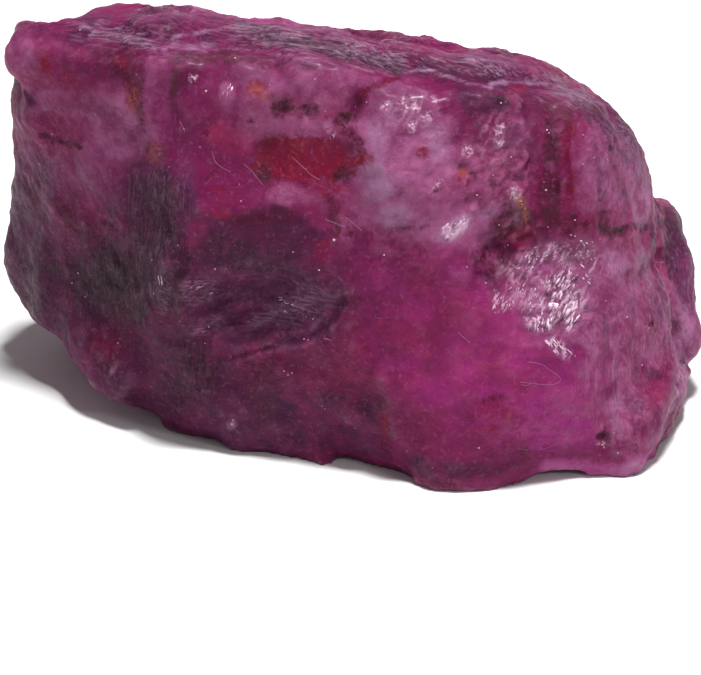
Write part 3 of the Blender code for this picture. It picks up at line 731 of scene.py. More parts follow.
LINT: tuple[Path, ...] = (
    (
        (528, 362), (541, 363), (549, 370), (559, 376), (561, 380),
        (556, 384), (545, 385), (531, 383), (520, 382),
    ),
    ((531, 383), (526, 387), (521, 384)),
    ((244, 164), (252, 171), (257, 178), (263, 185)),
    ((292, 157), (300, 164), (306, 170), (312, 176), (320, 180)),
    ((212, 151), (214, 161), (222, 168), (231, 172)),
    ((325, 219), (335, 223), (345, 227)),
    ((345, 217), (353, 222), (362, 231)),
    ((180, 121), (183, 126), (185, 132)),
    ((324, 338), (330, 340), (337, 341)),
    ((458, 332), (464, 338), (470, 343)),
    ((518, 448), (530, 451), (545, 449), (560, 442)),
    ((586, 356), (588, 372), (590, 388)),
    ((664, 262), (659, 263), (656, 262)),
)

# pale strokes: painted highlights, mostly on the glittering face
GLINT_STROKES: tuple[GlintStrokes, ...] = (
    GlintStrokes(562, 292, 15, 22, -62, 52, 9, 2.2),
    GlintStrokes(570, 312, 8, 18, -60, 36, 10, 2.4),
    GlintStrokes(541, 324, 13, 7, -84, 26, 8, 2.2),
    GlintStrokes(553, 343, 7, 4, 48, 12, 7, 1.8),
    GlintStrokes(562, 351, 8, 4, 48, 12, 7, 1.6),
    GlintStrokes(545, 300, 14, 18, -70, 30, 6, 1.2),
    GlintStrokes(520, 298, 18, 20, -50, 34, 5, 1.0),
    GlintStrokes(498, 305, 6, 10, -70, 10, 5, 1.2),
    GlintStrokes(552, 254, 26, 10, -40, 22, 5, 1.0),
    GlintStrokes(528, 262, 10, 8, -40, 8, 4, 1.6),
    GlintStrokes(586, 252, 8, 18, 50, 12, 5, 1.7),
    GlintStrokes(590, 278, 8, 10, 50, 6, 4, 1.4),
    GlintStrokes(454, 227, 13, 5, -52, 14, 7, 1.6),
    GlintStrokes(228, 92, 6, 8, -80, 7, 5, 1.6),
    GlintStrokes(158, 290, 6, 20, -84, 6, 10, 0.9),
    GlintStrokes(292, 303, 14, 10, -20, 10, 5, 1.0),
    GlintStrokes(200, 292, 14, 12, -22, 8, 6, 0.9),
)

LIES: tuple[Lie, ...] = (
    Lie(T.MILK, 5.0, 0.60, 3.1, 0.8),
    Lie(T.PLUM, 4.2, 0.45, 8.4, 0.8),
    Lie(T.MAROON, 2.6, 0.32, 14.2, 0.7),
    Lie(T.LILAC, 3.0, 0.36, 21.7, 0.3),
    Lie(T.NIGHT, 2.4, 0.22, 27.9, 0.7),
    # painted glow, also on the sides that no patch reaches
    Lie(T.GLOW, 6.0, 0.35, 33.3, 0.6),
    Lie(T.OLIVE, 1.8, 0.18, 39.6, 0.7),
    Lie(T.BLOOD, 1.4, 0.12, 44.1, 0.8),
    Lie(T.ASH, 2.2, 0.25, 52.8, 0.35),
    Lie(F.SILK, 4.0, 0.6, 61.5, 0.45),
    Lie(F.COMB, 3.0, 0.4, 70.3, 0.35),
    Lie(F.CHIPS, 2.4, 0.22, 83.9, 0.3),
)


def gathered(pairs: np.ndarray, rows: np.ndarray) -> np.ndarray:
    """Adds up each point's neighbours.

    Args:
        pairs: the edges, as rows of two point numbers.
        rows: a row of numbers for each point.

    Returns:
        For each point, the sum of its neighbours' rows.
    """
    (a, b), size = pairs.T, len(rows)
    return np.stack([np.bincount(a, c[b], size) + np.bincount(b, c[a], size) for c in rows.T], 1)


class Skin:
    """The stone's surface as arrays: its points, their joins, and where each one lies in the front sight.

    A point's wobbles are pairs of numbers between about -1 and 1 by which outlines wander.

    Attributes:
        COARSE_SIZE: the size of the coarse wobble in millimetres.
        FINE_SIZE: the size of the fine one.
        COARSE_WANDER: how far it moves an oval, as a share of its radius, and a line, in steps.
        FINE_WANDER: the same for the fine one.
        SIGHT_CELL: the side, in steps, of the cells in which the nearest depth is kept.
        SIGHT_CELLS: how many of them there are each way.
        HIDDEN_BEYOND: how far behind the nearest depth a point is hidden, in millimetres.
        GRAZING: how far a point may face away and still be reached.
        SEEN_ROUNDS: how often what is reached is averaged, which eases its edge.
        SEEN_ENOUGH: how well a point must be seen to carry something.
        LINE_REACH: the width at which a line has faded, over its own.
        CLOUD: the fineness and gap of the octaves of clouds.
        THREAD: the same for fibres, and their number of octaves.
        THREAD_STRETCH: how much longer a fibre is than it is wide.
        THREAD_BEND: how far a fibre bends, in millimetres.
    """

    COARSE_SIZE = 1.3
    FINE_SIZE = 0.42
    COARSE_WANDER = 0.30, 3.0
    FINE_WANDER = 0.22, 1.5
    SIGHT_CELL = 4
    SIGHT_CELLS = 220
    HIDDEN_BEYOND = 1.3
    GRAZING = -0.05
    SEEN_ROUNDS = 10
    SEEN_ENOUGH = 0.4
    LINE_REACH = 1.6
    CLOUD = 0.8, 2.1
    THREAD = 0.7, 2.1, 3
    THREAD_STRETCH = 8.0
    THREAD_BEND = 0.08

    def __init__(self, mesh: bpy.types.Mesh) -> None:
        """Reads a mesh in millimetres.

        Args:
            mesh: the closed mesh to work on.
        """
        self.mesh = mesh
        self.points = self._read("co")
        edges = np.empty(len(mesh.edges) * 2, np.int32)
        mesh.edges.foreach_get("vertices", edges)
        self.edges = edges.reshape(-1, 2)
        self.degree = np.bincount(self.edges.ravel(), minlength=len(self.points)).astype(float)
        noise.seed_set(NOISE_SEED)
        self.coarse = self._wobble(self.COARSE_SIZE)
        self.fine = self._wobble(self.FINE_SIZE)
        self.refresh()

    def _read(self, key: str) -> np.ndarray:
        """Returns the mesh's points, or with "normal" their normals, as rows of x, y, z."""
        flat = np.empty(len(self.mesh.vertices) * 3, np.float32)
        self.mesh.vertices.foreach_get(key, flat)
        return flat.reshape(-1, 3).astype(float)

    def _wobble(self, size: float) -> np.ndarray:
        """Returns each point's wobble, which changes over the given size in millimetres."""
        return np.array([noise.noise_vector(Vector(p) / size)[:2] for p in self.points])

    def refresh(self) -> None:
        """Writes the points to the mesh and finds normals, sight places and what the sight reaches."""
        self.mesh.vertices.foreach_set("co", self.points.astype(np.float32).ravel())
        self.mesh.update()
        self.normals = self._read("normal")
        self.across, self.down, self.depth = FRONT.places(self.points)
        self.seen = self._seen()

    def _seen(self) -> np.ndarray:
        """Returns 1 where the front sight reaches the surface and 0 where it doesn't, eased between."""
        column = (self.across / self.SIGHT_CELL).astype(int) + self.SIGHT_CELL
        row = (self.down / self.SIGHT_CELL).astype(int) + self.SIGHT_CELL
        near = np.full((self.SIGHT_CELLS,) * 2, FAR)
        np.minimum.at(near, (row, column), self.depth)
        for _ in range(2):
            near = np.minimum.reduce([near, np.roll(near, 1, 0), np.roll(near, -1, 0), np.roll(near, 1, 1)])
        facing = self.normals @ np.array(FRONT.back)
        reached = (self.depth - near[row, column] < self.HIDDEN_BEYOND) & (facing > self.GRAZING)
        return smooth(self.diffused(reached.astype(float), self.SEEN_ROUNDS) * 1.6 - 0.3)

    def diffused(self, values: np.ndarray, rounds: int) -> np.ndarray:
        """Averages values with their neighbours.

        Args:
            values: one number, or a row of them, for each point.
            rounds: how often it is done.

        Returns:
            The averaged values.
        """
        rows = values.reshape(len(values), -1)
        for _ in range(rounds):
            rows = 0.5 * rows + 0.5 * gathered(self.edges, rows) / self.degree[:, None]
        return rows.reshape(values.shape)

    def relaxed(self, inside: np.ndarray, rounds: int) -> np.ndarray:
        """Averages the points of a zone with their neighbours, while the rest holds still.

        Args:
            inside: whether each point is in the zone.
            rounds: how often it is done.

        Returns:
            All the points, with those of the zone moved.
        """
        joined = self.edges[inside[self.edges].any(1)]
        own = np.unique(joined)
        pairs = np.searchsorted(own, joined)
        points, free = self.points[own], inside[own]
        degree = np.bincount(pairs.ravel(), minlength=len(own))[free, None]
        for _ in range(rounds):
            points[free] = 0.5 * points[free] + 0.5 * gathered(pairs, points)[free] / degree
        result = self.points.copy()
        result[own] = points
        return result

    def mean_bend(self, rounds: int) -> np.ndarray:
        """Returns how far each point lies below its surroundings, in millimetres."""
        return ((self.diffused(self.points, rounds) - self.points) * self.normals).sum(1)

    def _wander(self, which: int) -> np.ndarray:
        """Returns how far outlines wander: with 0 as a share of an oval's radius, with 1 in steps."""
        return self.COARSE_WANDER[which] * self.coarse + self.FINE_WANDER[which] * self.fine

    def oval(self, p: Oval, edge: float, ragged: float = 1.0) -> np.ndarray:
        """Lays out an oval.

        Args:
            p: the oval.
            edge: the share of its radius over which it fades.
            ragged: how far its outline wanders.

        Returns:
            1 inside it and 0 outside, for each point.
        """
        wander = ragged * min(p.wide, p.tall) * self._wander(0)
        x = self.across - p.across + wander[:, 0]
        y = self.down - p.down + wander[:, 1]
        c, s = math.cos(math.radians(p.turn)), math.sin(math.radians(p.turn))
        radius = np.hypot((x * c + y * s) / p.wide, (y * c - x * s) / p.tall)
        return smooth((1.0 + 0.25 * edge - radius) / edge) * self.seen

    def line(self, path: Path, width: float, ragged: float = 1.0) -> np.ndarray:
        """Lays out a line.

        Args:
            path: the points that it follows.
            width: half its width in sight steps.
            ragged: how far it wanders.

        Returns:
            1 along it, faded to 0 at its width, for each point.
        """
        wander = ragged * self._wander(1)
        x, y = self.across + wander[:, 0], self.down + wander[:, 1]
        best = np.full(len(x), FAR)
        for (ax, ay), (bx, by) in zip(path, path[1:]):
            dx, dy = bx - ax, by - ay
            t = np.clip(((x - ax) * dx + (y - ay) * dy) / (dx * dx + dy * dy), 0, 1)
            best = np.minimum(best, np.hypot(x - ax - t * dx, y - ay - t * dy))
        return smooth(1.0 - best / (self.LINE_REACH * width)) * self.seen

    def clouds(self, size: float, seed: float, octaves: int = 3) -> np.ndarray:
        """Returns natural cloudiness, about -1 to 1, of the given size in millimetres."""
        shift = Vector((seed, seed * 1.7, -seed * 0.6))
        return np.array([noise.fractal(Vector(p) / size + shift, *self.CLOUD, octaves) for p in self.points])

    def drawn_clouds(self, lean: float, pitch: float, seed: float) -> np.ndarray:
        """Draws cloudiness out into fibres.

        Args:
            lean: degrees between the fibres and the level in the sight, clockwise as seen.
            pitch: millimetres from fibre to fibre.
            seed: where in the noise it is taken.

        Returns:
            A number between about -1 and 1 for each point.
        """
        along = np.array(FRONT.along(math.radians(lean)))
        bent = self.points + self.THREAD_BEND * np.column_stack([self.coarse, self.coarse[:, 0]])
        squeezed = bent - np.outer(bent @ along, along) * (1 - 1 / self.THREAD_STRETCH)
        shift = Vector((seed, -seed, seed * 0.5))
        return np.array([noise.fractal(Vector(p) / pitch + shift, *self.THREAD) for p in squeezed])

    def spot(self, across: float, down: float) -> tuple[Vector, Vector]:
        """Finds where the front sight meets the surface.

        Args:
            across: steps from the left.
            down: steps from the top.

        Returns:
            The point in millimetres and the surface's normal there.
        """
        gap = np.hypot(self.across - across, self.down - down) + FAR * (self.seen < self.SEEN_ENOUGH)
        near = int(np.argmin(gap))
        return FRONT.point(across, down, self.depth[near]), Vector(self.normals[near])


def added(name: str, data: bpy.types.ID) -> bpy.types.Object:
    """Adds an object to the scene.

    Args:
        name: its name.
        data: its mesh, curve, light or camera.

    Returns:
        The object.
    """
    made = bpy.data.objects.new(name, data)
    bpy.context.scene.collection.objects.link(made)
    return made


def poured(work: bmesh.types.BMesh, name: str) -> bpy.types.Mesh:
    """Turns finished mesh work into a mesh.

    Args:
        work: the work, which is freed.
        name: the mesh's name.

    Returns:
        The mesh.
    """
    mesh = bpy.data.meshes.new(name)
    work.to_mesh(mesh)
    work.free()
    return mesh


def evaluated(thing: bpy.types.Object) -> bpy.types.Mesh:
    """Returns a new mesh of an object with its modifiers, or its curve's thickness, applied."""
    return bpy.data.meshes.new_from_object(thing.evaluated_get(bpy.context.evaluated_depsgraph_get()))


def settle(piece: bpy.types.Object, material: bpy.types.Material) -> None:
    """Args:
        piece: the piece.
        material: what its surface looks like.
    """
    mesh = piece.data
    mesh.materials.clear()
    mesh.materials.append(material)
    mesh.polygons.foreach_set("use_smooth", [True] * len(mesh.polygons))
    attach(piece, "root")


@dataclass
class RubyStone:
    """The stone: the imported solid's surface with its fine relief and its tints.

    Attributes:
        cell: the skin's mesh size in millimetres.
        swell: height of the broad roughness in millimetres.
        tooth: height of the fine roughness in millimetres.
        broken: height of the broken lumps on the sides that the front sight doesn't reach, in millimetres.
        base: height above the flat base over which the relief sets in, in millimetres.
        rounding: how often the solid's edges are averaged.
        rounded: how much of that is kept.
        polish: how often the worn surface is averaged at last.
        bends: how often it is averaged to find fine and broad hollows and ridges.
        name: the piece's name.
    """

    cell: float = 0.118
    swell: float = 0.075
    tooth: float = 0.03
    broken: float = 0.10
    base: float = 0.30
    rounding: int = 22
    rounded: float = 0.85
    polish: int = 3
    bends: tuple[int, int] = (6, 51)
    name: str = "ruby_stone"

    def build(self, node: bpy.types.Object, finish: "RubyFinish") -> tuple[bpy.types.Object, Skin]:
        """Args:
            node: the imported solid, which the stone stands for.
            finish: what its surface looks like.

        Returns:
            The finished piece and its skin, which what lies on it is set against.
        """
        piece = self.even_skin(node)
        skin = Skin(piece.data)
        self.carve(skin)
        self.lay_tints(skin)
        piece.data.transform(Matrix.Scale(MM, 4))
        settle(piece, finish.build())
        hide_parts(NODE)
        return piece, skin

    def even_skin(self, node: bpy.types.Object) -> bpy.types.Object:
        """Copies the solid's surface in millimetres as an even fine mesh.

        Args:
            node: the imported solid.

        Returns:
            A new object with that mesh.
        """
        work = bmesh.new()
        work.from_mesh(node.data)
        bmesh.ops.scale(work, vec=(1 / MM,) * 3, verts=work.verts)
        bmesh.ops.remove_doubles(work, verts=work.verts, dist=1e-4)
        mesh = poured(work, self.name)
        piece = added(self.name, mesh)
        even = piece.modifiers.new("even", "REMESH")
        even.mode, even.voxel_size = "VOXEL", self.cell
        fresh = evaluated(piece)
        piece.modifiers.clear()
        piece.data = fresh
        fresh.name = self.name
        bpy.data.meshes.remove(mesh)
        return piece

    def carve(self, skin: Skin) -> None:
        """Works the relief into the skin: roughness, fibres, furrows and pits.

        Args:
            skin: the surface to work.
        """
        foot = smooth(skin.points[:, 2] / self.base)
        self.wear(skin, foot)
        height = self.swell * skin.clouds(size=1.3, seed=5.0, octaves=2)
        height += self.tooth * skin.clouds(size=0.42, seed=9.0)
        height += self.broken * (1 - skin.seen) * skin.clouds(size=0.6, seed=77.0)
        for n, f in enumerate(FIBRES):
            threads = skin.drawn_clouds(f.lean, f.pitch, seed=17.0 * n + 3.0)
            height += f.height * skin.oval(f, edge=0.5) * threads
        for n, r in enumerate(RUBBLE):
            height += r.height * skin.oval(r, edge=0.7) * skin.clouds(r.lump, seed=11.0 * n + 101.0)
        for path, width, depth in FURROWS:
            height -= depth * skin.line(path, width, ragged=0.7)
        for across, down, radius, depth in PITS:
            height -= depth * skin.oval(Oval(across, down, radius, radius), edge=0.8, ragged=0.6)
        skin.points += skin.normals * (height * foot)[:, None]
        skin.points[:, 2] = np.maximum(skin.points[:, 2], 0.0)
        skin.refresh()

    def wear(self, skin: Skin, foot: np.ndarray) -> None:
        """Rounds the solid's edges, and smooths, swells and shifts it where that is asked for.

        Args:
            skin: the surface to work.
            foot: 0 at the base, which stays flat, and 1 above it.
        """
        averaged = skin.diffused(skin.points, self.rounding)
        skin.points += (averaged - skin.points) * (self.rounded * foot)[:, None]
        skin.refresh()
        start = skin.points.copy()
        for ball in SWELLINGS:
            skin.points += skin.normals * (ball.height * smooth(ball.near(start)) * foot)[:, None]
        skin.refresh()
        for ball in EASINGS:
            near = ball.near(start)
            move = skin.relaxed(near > 0.0, ball.rounds) - skin.points
            if ball.fills:
                move = skin.normals * np.maximum((move * skin.normals).sum(1), 0.0)[:, None]
            skin.points += move * (ball.share * smooth(2.0 * near) * foot)[:, None]
        skin.points += (skin.diffused(skin.points, self.polish) - skin.points) * foot[:, None]
        start = skin.points.copy()
        for ball in NUDGES:
            skin.points += np.outer(smooth(ball.near(start)), ball.shift)
        skin.refresh()

    def lay_tints(self, skin: Skin) -> None:
        """Lays each tint and field on the skin as a mask.

        Args:
            skin: the surface to dress.
        """
        masks = {kind: np.zeros(len(skin.points)) for kind in (*Tint, *Field)}
        for lie in LIES:
            share = smooth((skin.clouds(lie.size, lie.seed) + 0.55 - (1 - lie.share)) / 0.35)
            masks[lie.kind] = lie.strength * share * (1 - skin.seen)
        patches = [(kind, Patch(*row)) for kind, rows in PATCHES.items() for row in rows]
        laid = [(kind, skin.oval(p, p.edge) * p.strength) for kind, p in patches]
        for kind, rows in TRACES.items():
            laid += [(kind, skin.line(path, width) * strength) for path, width, strength in rows]
        for kind, share in laid:
            masks[kind] = 1 - (1 - masks[kind]) * (1 - share)
        # painted shade in hollows and painted highlights on crests, from how the surface bends
        curve, broad = (skin.mean_bend(rounds) for rounds in self.bends)
        masks[F.HOLLOW] = smooth(curve / 0.05) * 0.6 + smooth(broad / 0.25) * 0.5
        masks[F.RIDGE] = smooth(-curve / 0.05) * 0.7 + smooth(-broad / 0.3) * 0.3
        for kind, values in masks.items():
            layer = skin.mesh.attributes.new(kind.mask, "FLOAT", "POINT")
            layer.data.foreach_set("value", np.clip(values, 0, 1).astype(np.float32))


class Wiring:
    """Short ways to add and join the nodes of one shader tree. A value is a socket, a number or a colour."""

    def __init__(self, tree: bpy.types.NodeTree) -> None:
        """Starts on a tree.

        Args:
            tree: the tree to add to.
        """
        self.tree = tree

    def node(self, kind: str, **settings: object) -> bpy.types.Node:
        """Adds a node.

        Args:
            kind: its type's name, without "ShaderNode".
            settings: its properties.

        Returns:
            The node.
        """
        made = self.tree.nodes.new("ShaderNode" + kind)
        for key, value in settings.items():
            setattr(made, key, value)
        return made

    def feed(self, node: bpy.types.Node, values: dict[str | int, object]) -> bpy.types.Node:
        """Joins or sets a node's inputs.

        Args:
            node: the node.
            values: a value for each input that is named or numbered.

        Returns:
            The node.
        """
        for key, value in values.items():
            if isinstance(value, Socket):
                self.tree.links.new(value, node.inputs[key])
            else:
                node.inputs[key].default_value = value
        return node

    def math(self, operation: str, a: object, b: object, clamp: bool = False) -> Socket:
        """Adds a Math node and returns its result."""
        return self.feed(self.node("Math", operation=operation, use_clamp=clamp), {0: a, 1: b}).outputs[0]

    def times(self, a: object, b: object) -> Socket:
        """Returns a times b."""
        return self.math("MULTIPLY", a, b)

    def vector(self, operation: str, a: object, b: object) -> Socket:
        """Adds a Vector Math node.

        Args:
            operation: what it does.
            a: the first vector.
            b: the second one, or the number to scale by.

        Returns:
            Its result.
        """
        second = "Scale" if operation == "SCALE" else 1
        made = self.feed(self.node("VectorMath", operation=operation), {0: a, second: b})
        return made.outputs["Value" if operation == "DOT_PRODUCT" else "Vector"]

    def mix(self, share: object, a: object, b: object) -> Socket:
        """Adds a colour Mix node and returns its result."""
        return self.feed(self.node("Mix", data_type="RGBA"), {0: share, 6: a, 7: b}).outputs[2]

    def ease(self, value: object, low: float, high: float) -> Socket:
        """Maps a value from low..high to 0..1 with eased ends."""
        made = self.node("MapRange", interpolation_type="SMOOTHSTEP")
        return self.feed(made, {"Value": value, "From Min": low, "From Max": high}).outputs[0]

    def noise(self, place: object, scale: object, detail: float, rough: float = 0.6) -> bpy.types.Node:
        """Adds a Noise Texture node."""
        values = {"Vector": place, "Scale": scale, "Detail": detail, "Roughness": rough}
        return self.feed(self.node("TexNoise"), values)

    def cloud(
        self, place: object, scale: object, detail: float, rough: float, low: float, high: float
    ) -> Socket:
        """Returns noise that is mapped from low..high to 0..1."""
        return self.ease(self.noise(place, scale, detail, rough).outputs["Fac"], low, high)

    def attribute(self, name: str) -> Socket:
        """Returns the value of a mask on the piece."""
        return self.node("Attribute", attribute_name=name).outputs["Fac"]

    def place(self) -> Socket:
        """Returns the place on the piece in millimetres."""
        return self.vector("SCALE", self.node("TexCoord").outputs["Object"], 1 / MM)


def new_material(name: str) -> tuple[bpy.types.Material, Wiring, bpy.types.Node]:
    """Starts a material.

    Args:
        name: its name.

    Returns:
        The material, its wiring and its shader.
    """
    material = bpy.data.materials.new(name)
    material.use_nodes = True
    return material, Wiring(material.node_tree), material.node_tree.nodes["Principled BSDF"]


def new_group(name: str, inputs: dict[str, str], output: str, kind: str) -> tuple[Wiring, dict[str, Socket]]:
    """Starts a shader node group.

    Args:
        name: the group's name.
        inputs: its inputs' names and their types, "Float", "Color" or "Vector".
        output: the name of what it puts out.
        kind: the type of that.

    Returns:
        The wiring of the group and what comes in. The output node is the tree's last one.
    """
    tree = bpy.data.node_groups.new(name, "ShaderNodeTree")
    for key, sort in inputs.items():
        tree.interface.new_socket(key, in_out="INPUT", socket_type="NodeSocket" + sort)
    tree.interface.new_socket(output, in_out="OUTPUT", socket_type="NodeSocket" + kind)
    start = tree.nodes.new("NodeGroupInput")
    tree.nodes.new("NodeGroupOutput")
    return Wiring(tree), {key: start.outputs[key] for key in inputs}


def fibre_group() -> bpy.types.NodeTree:
    """Builds the group that draws noise out into straight fibres along a direction.

    Returns:
        The group.
    """
    inputs = {"Place": "Vector", "Along": "Vector", "Pitch": "Float", "Stretch": "Float"}
    w, into = new_group("fibre_grain", inputs, "Fibre", "Float")
    kept = w.math("SUBTRACT", 1.0, w.math("DIVIDE", 1.0, into["Stretch"]))
    reach = w.times(w.vector("DOT_PRODUCT", into["Place"], into["Along"]), kept)
    drawn = w.vector("SUBTRACT", into["Place"], w.vector("SCALE", into["Along"], reach))
    w.feed(w.tree.nodes["Group Output"], {"Fibre": w.cloud(drawn, into["Pitch"], 3.0, 0.6, 0.34, 0.66)})
    return w.tree


def layer_group() -> bpy.types.NodeTree:
    """Builds the group that lays a colour where a mask and a grain say.

    Returns:
        The group.
    """
    inputs = {"Under": "Color", "Colour": "Color", "Mask": "Float", "Grain": "Float", "Break": "Float"}
    w, into = new_group("mineral_layer", inputs, "Result", "Color")
    mask, grain = into["Mask"], into["Grain"]
    torn = w.times(w.times(mask, w.math("SUBTRACT", 1.0, mask)), 4.0)
    share = w.math("ADD", mask, w.times(torn, w.times(w.math("SUBTRACT", grain, 0.5), 0.9)))
    inner = w.times(into["Break"], w.math("SUBTRACT", 1.0, grain))
    share = w.math("MULTIPLY", share, w.math("SUBTRACT", 1.0, inner), clamp=True)
    w.feed(w.tree.nodes["Group Output"], {"Result": w.mix(share, into["Under"], into["Colour"])})
    return w.tree


@dataclass(frozen=True)
class RubyFinish:
    """The stone's finish: milky magenta mineral with fibres, stains and dust, with painted shade in hollows
    and painted sheen, glints and highlights.

    Attributes:
        name: the material's name.
        body: the colour under the tints.
        drift: the colour that it drifts to.
        deep: the colour of its mottling.
        clear: the colour of crystal sugar specks, and of painted highlights on crests.
        glitter: the colour of the glittering face, a painted sheen.
        thread: the colour of a fibre's crest.
        groove: the colour between fibres.
        chip_glint: the colour of the faces of chips, painted glints.
        gap: the colour between chips.
        hollow: painted shade, the dark colour laid in hollows.
        roughness: how dull the body is.
        index: its index of refraction.
        shine: how strongly it mirrors.
        scatter: the share of light that enters it.
        reach: how far light travels in it, in millimetres.
        spread: how far red, green and blue travel, as a share of that.
    """

    name: str = "rough_ruby"
    body: str = "#761B4A"
    drift: str = "#69184A"
    deep: str = "#581038"
    clear: str = "#C08AAE"
    glitter: str = "#B87CA4"
    thread: str = "#AC7EA2"
    groove: str = "#34182C"
    chip_glint: str = "#DCBCD2"
    gap: str = "#5A1E46"
    hollow: str = "#35132A"
    roughness: float = 0.46
    index: float = 1.62
    shine: float = 0.07
    scatter: float = 0.45
    reach: float = 1.1
    spread: Spot = (1.0, 0.30, 0.62)

    def build(self) -> bpy.types.Material:
        """Builds the material.

        Returns:
            The material.
        """
        material, w, shader = new_material(self.name)
        place = self.warped(w, 1.6, 0.5)
        grains = self.grains(w, place, self.warped(w, 0.9, 0.22))
        w.feed(shader, {
            "Base Color": self.colours(w, place, grains),
            "Roughness": self.rough(w, grains),
            "Normal": self.relief(w, grains),
            "Coat Weight": self.wet(w),
            "Coat Roughness": 0.22,
            "Coat IOR": self.index,
            "IOR": self.index,
            "Specular IOR Level": self.shine,
            "Subsurface Weight": self.scatter,
            "Subsurface Radius": self.spread,
            "Subsurface Scale": self.reach * MM,
        })
        return material

    def warped(self, w: Wiring, scale: float, amount: float) -> Socket:
        """Shifts the place at random.

        Args:
            w: the material's wiring.
            scale: how fast the shift changes, per millimetre.
            amount: how far it shifts, in millimetres.

        Returns:
            The shifted place in millimetres.
        """
        place = w.place()
        warp = w.vector("SUBTRACT", w.noise(place, scale, 3.0).outputs["Color"], (0.5, 0.5, 0.5))
        return w.vector("ADD", place, w.vector("SCALE", warp, amount))

    def grains(self, w: Wiring, place: Socket, still: Socket) -> Grains:
        """Makes the pattern of each grain.

        Args:
            w: the material's wiring.
            place: the warped place on the stone in millimetres.
            still: the barely warped one.

        Returns:
            A value between 0 and 1 for each grain, and for SILK the fibres of all zones together.
        """
        group = fibre_group()
        leans = {  # direction, fibres in a millimetre across, and their length over their width
            F.SILK: ((0.04, 0.0, 1.0), 13.0, 11.0),
            F.SLANT: ((0.47, -0.35, -0.81), 13.0, 11.0),
            F.COMB: ((0.96, -0.27, -0.03), 12.0, 10.0),
            F.SWEEP: ((0.93, 0.17, 0.32), 11.0, 8.0),
            F.CHIPS: ((0.47, 0.44, 0.76), 8.0, 4.0),
        }
        fibres, thread = {}, 0.5
        for field, (along, pitch, stretch) in leans.items():
            values = {"Place": still, "Along": Vector(along).normalized(), "Pitch": pitch, "Stretch": stretch}
            fibres[field] = w.feed(w.node("Group", node_tree=group), values).outputs["Fibre"]
            if field is not F.CHIPS:
                part = w.times(w.math("SUBTRACT", fibres[field], 0.5), w.attribute(field.mask))
                thread = w.math("ADD", thread, part)
        return {
            Grain.EVEN: w.cloud(place, 0.9, 3.0, 0.6, 0.2, 0.8),
            Grain.CLOUDY: w.cloud(place, 1.3, 6.0, 0.66, 0.3, 0.7),
            Grain.MOTTLED: w.cloud(place, 3.6, 6.0, 0.7, 0.36, 0.64),
            Grain.UPRIGHT: fibres[F.SILK],
            Grain.LENGTHWISE: fibres[F.COMB],
            Grain.SPECKLED: w.cloud(place, 8.0, 3.0, 0.6, 0.40, 0.60),
            F.SILK: thread,
            F.CHIPS: fibres[F.CHIPS],
        }

    def colours(self, w: Wiring, place: Socket, grains: Grains) -> Socket:
        """Lays the tints over the body colour.

        Args:
            w: the material's wiring.
            place: the warped place on the stone in millimetres.
            grains: the pattern of each grain.

        Returns:
            The colour.
        """
        layer = layer_group()
        drift = w.cloud(place, 0.28, 3.0, 0.6, 0.35, 0.65)
        colour = w.mix(drift, linear(self.body), linear(self.drift))
        colour = w.mix(w.times(grains[Grain.MOTTLED], 0.25), colour, linear(self.deep))
        breaks = {Grain.EVEN: 0.15, Grain.CLOUDY: 0.3, Grain.SPECKLED: 0.6}
        for tint in Tint:
            code, grain = tint.value
            values = {"Under": colour, "Colour": linear(code), "Mask": w.attribute(tint.mask)}
            values |= {"Grain": grains[grain], "Break": breaks.get(grain, 0.45)}
            colour = w.feed(w.node("Group", node_tree=layer), values).outputs["Result"]
        patchy = w.math("ADD", w.times(grains[Grain.CLOUDY], 0.22), 0.06)
        thread, chips, chipped = grains[F.SILK], grains[F.CHIPS], w.attribute(F.CHIPS.mask)
        # sugar specks; painted sheen on the glittering face; fibre crests and grooves; painted glints on the
        # faces of chips, with darker gaps; painted shade in hollows; painted highlights on crests
        for share, amount, code in (
            (w.cloud(place, 7.0, 2.0, 0.5, 0.56, 0.74), 0.10, self.clear),
            (w.attribute(F.GLITTER.mask), 0.25, self.glitter),
            (w.ease(thread, 0.50, 1.0), patchy, self.thread),
            (w.ease(thread, 0.50, 0.0), w.times(patchy, 1.4), self.groove),
            (w.times(w.ease(chips, 0.55, 0.95), chipped), 0.65, self.chip_glint),
            (w.times(w.ease(chips, 0.45, 0.10), chipped), 0.45, self.gap),
            (w.attribute(F.HOLLOW.mask), 0.40, self.hollow),
            (w.attribute(F.RIDGE.mask), 0.20, self.clear),
        ):
            colour = w.mix(w.times(share, amount), colour, linear(code))
        return colour

    def rough(self, w: Wiring, grains: Grains) -> Socket:
        """Works out how dull each place is.

        Args:
            w: the material's wiring.
            grains: the pattern of each grain.

        Returns:
            The roughness.
        """
        value = w.math("ADD", w.times(grains[Grain.MOTTLED], 0.22), self.roughness - 0.08)
        return w.math("SUBTRACT", value, w.times(w.attribute(F.GLOSS.mask), 0.20))

    def wet(self, w: Wiring) -> Socket:
        """Works out where broken faces and crests shine as if wet.

        Args:
            w: the material's wiring.

        Returns:
            A value between 0 and 1.
        """
        gloss, glitter, ridge = (
            w.times(w.attribute(field.mask), share)
            for field, share in ((F.GLOSS, 0.35), (F.GLITTER, 0.25), (F.RIDGE, 0.15))
        )
        return w.math("ADD", w.math("ADD", gloss, glitter), ridge, clamp=True)

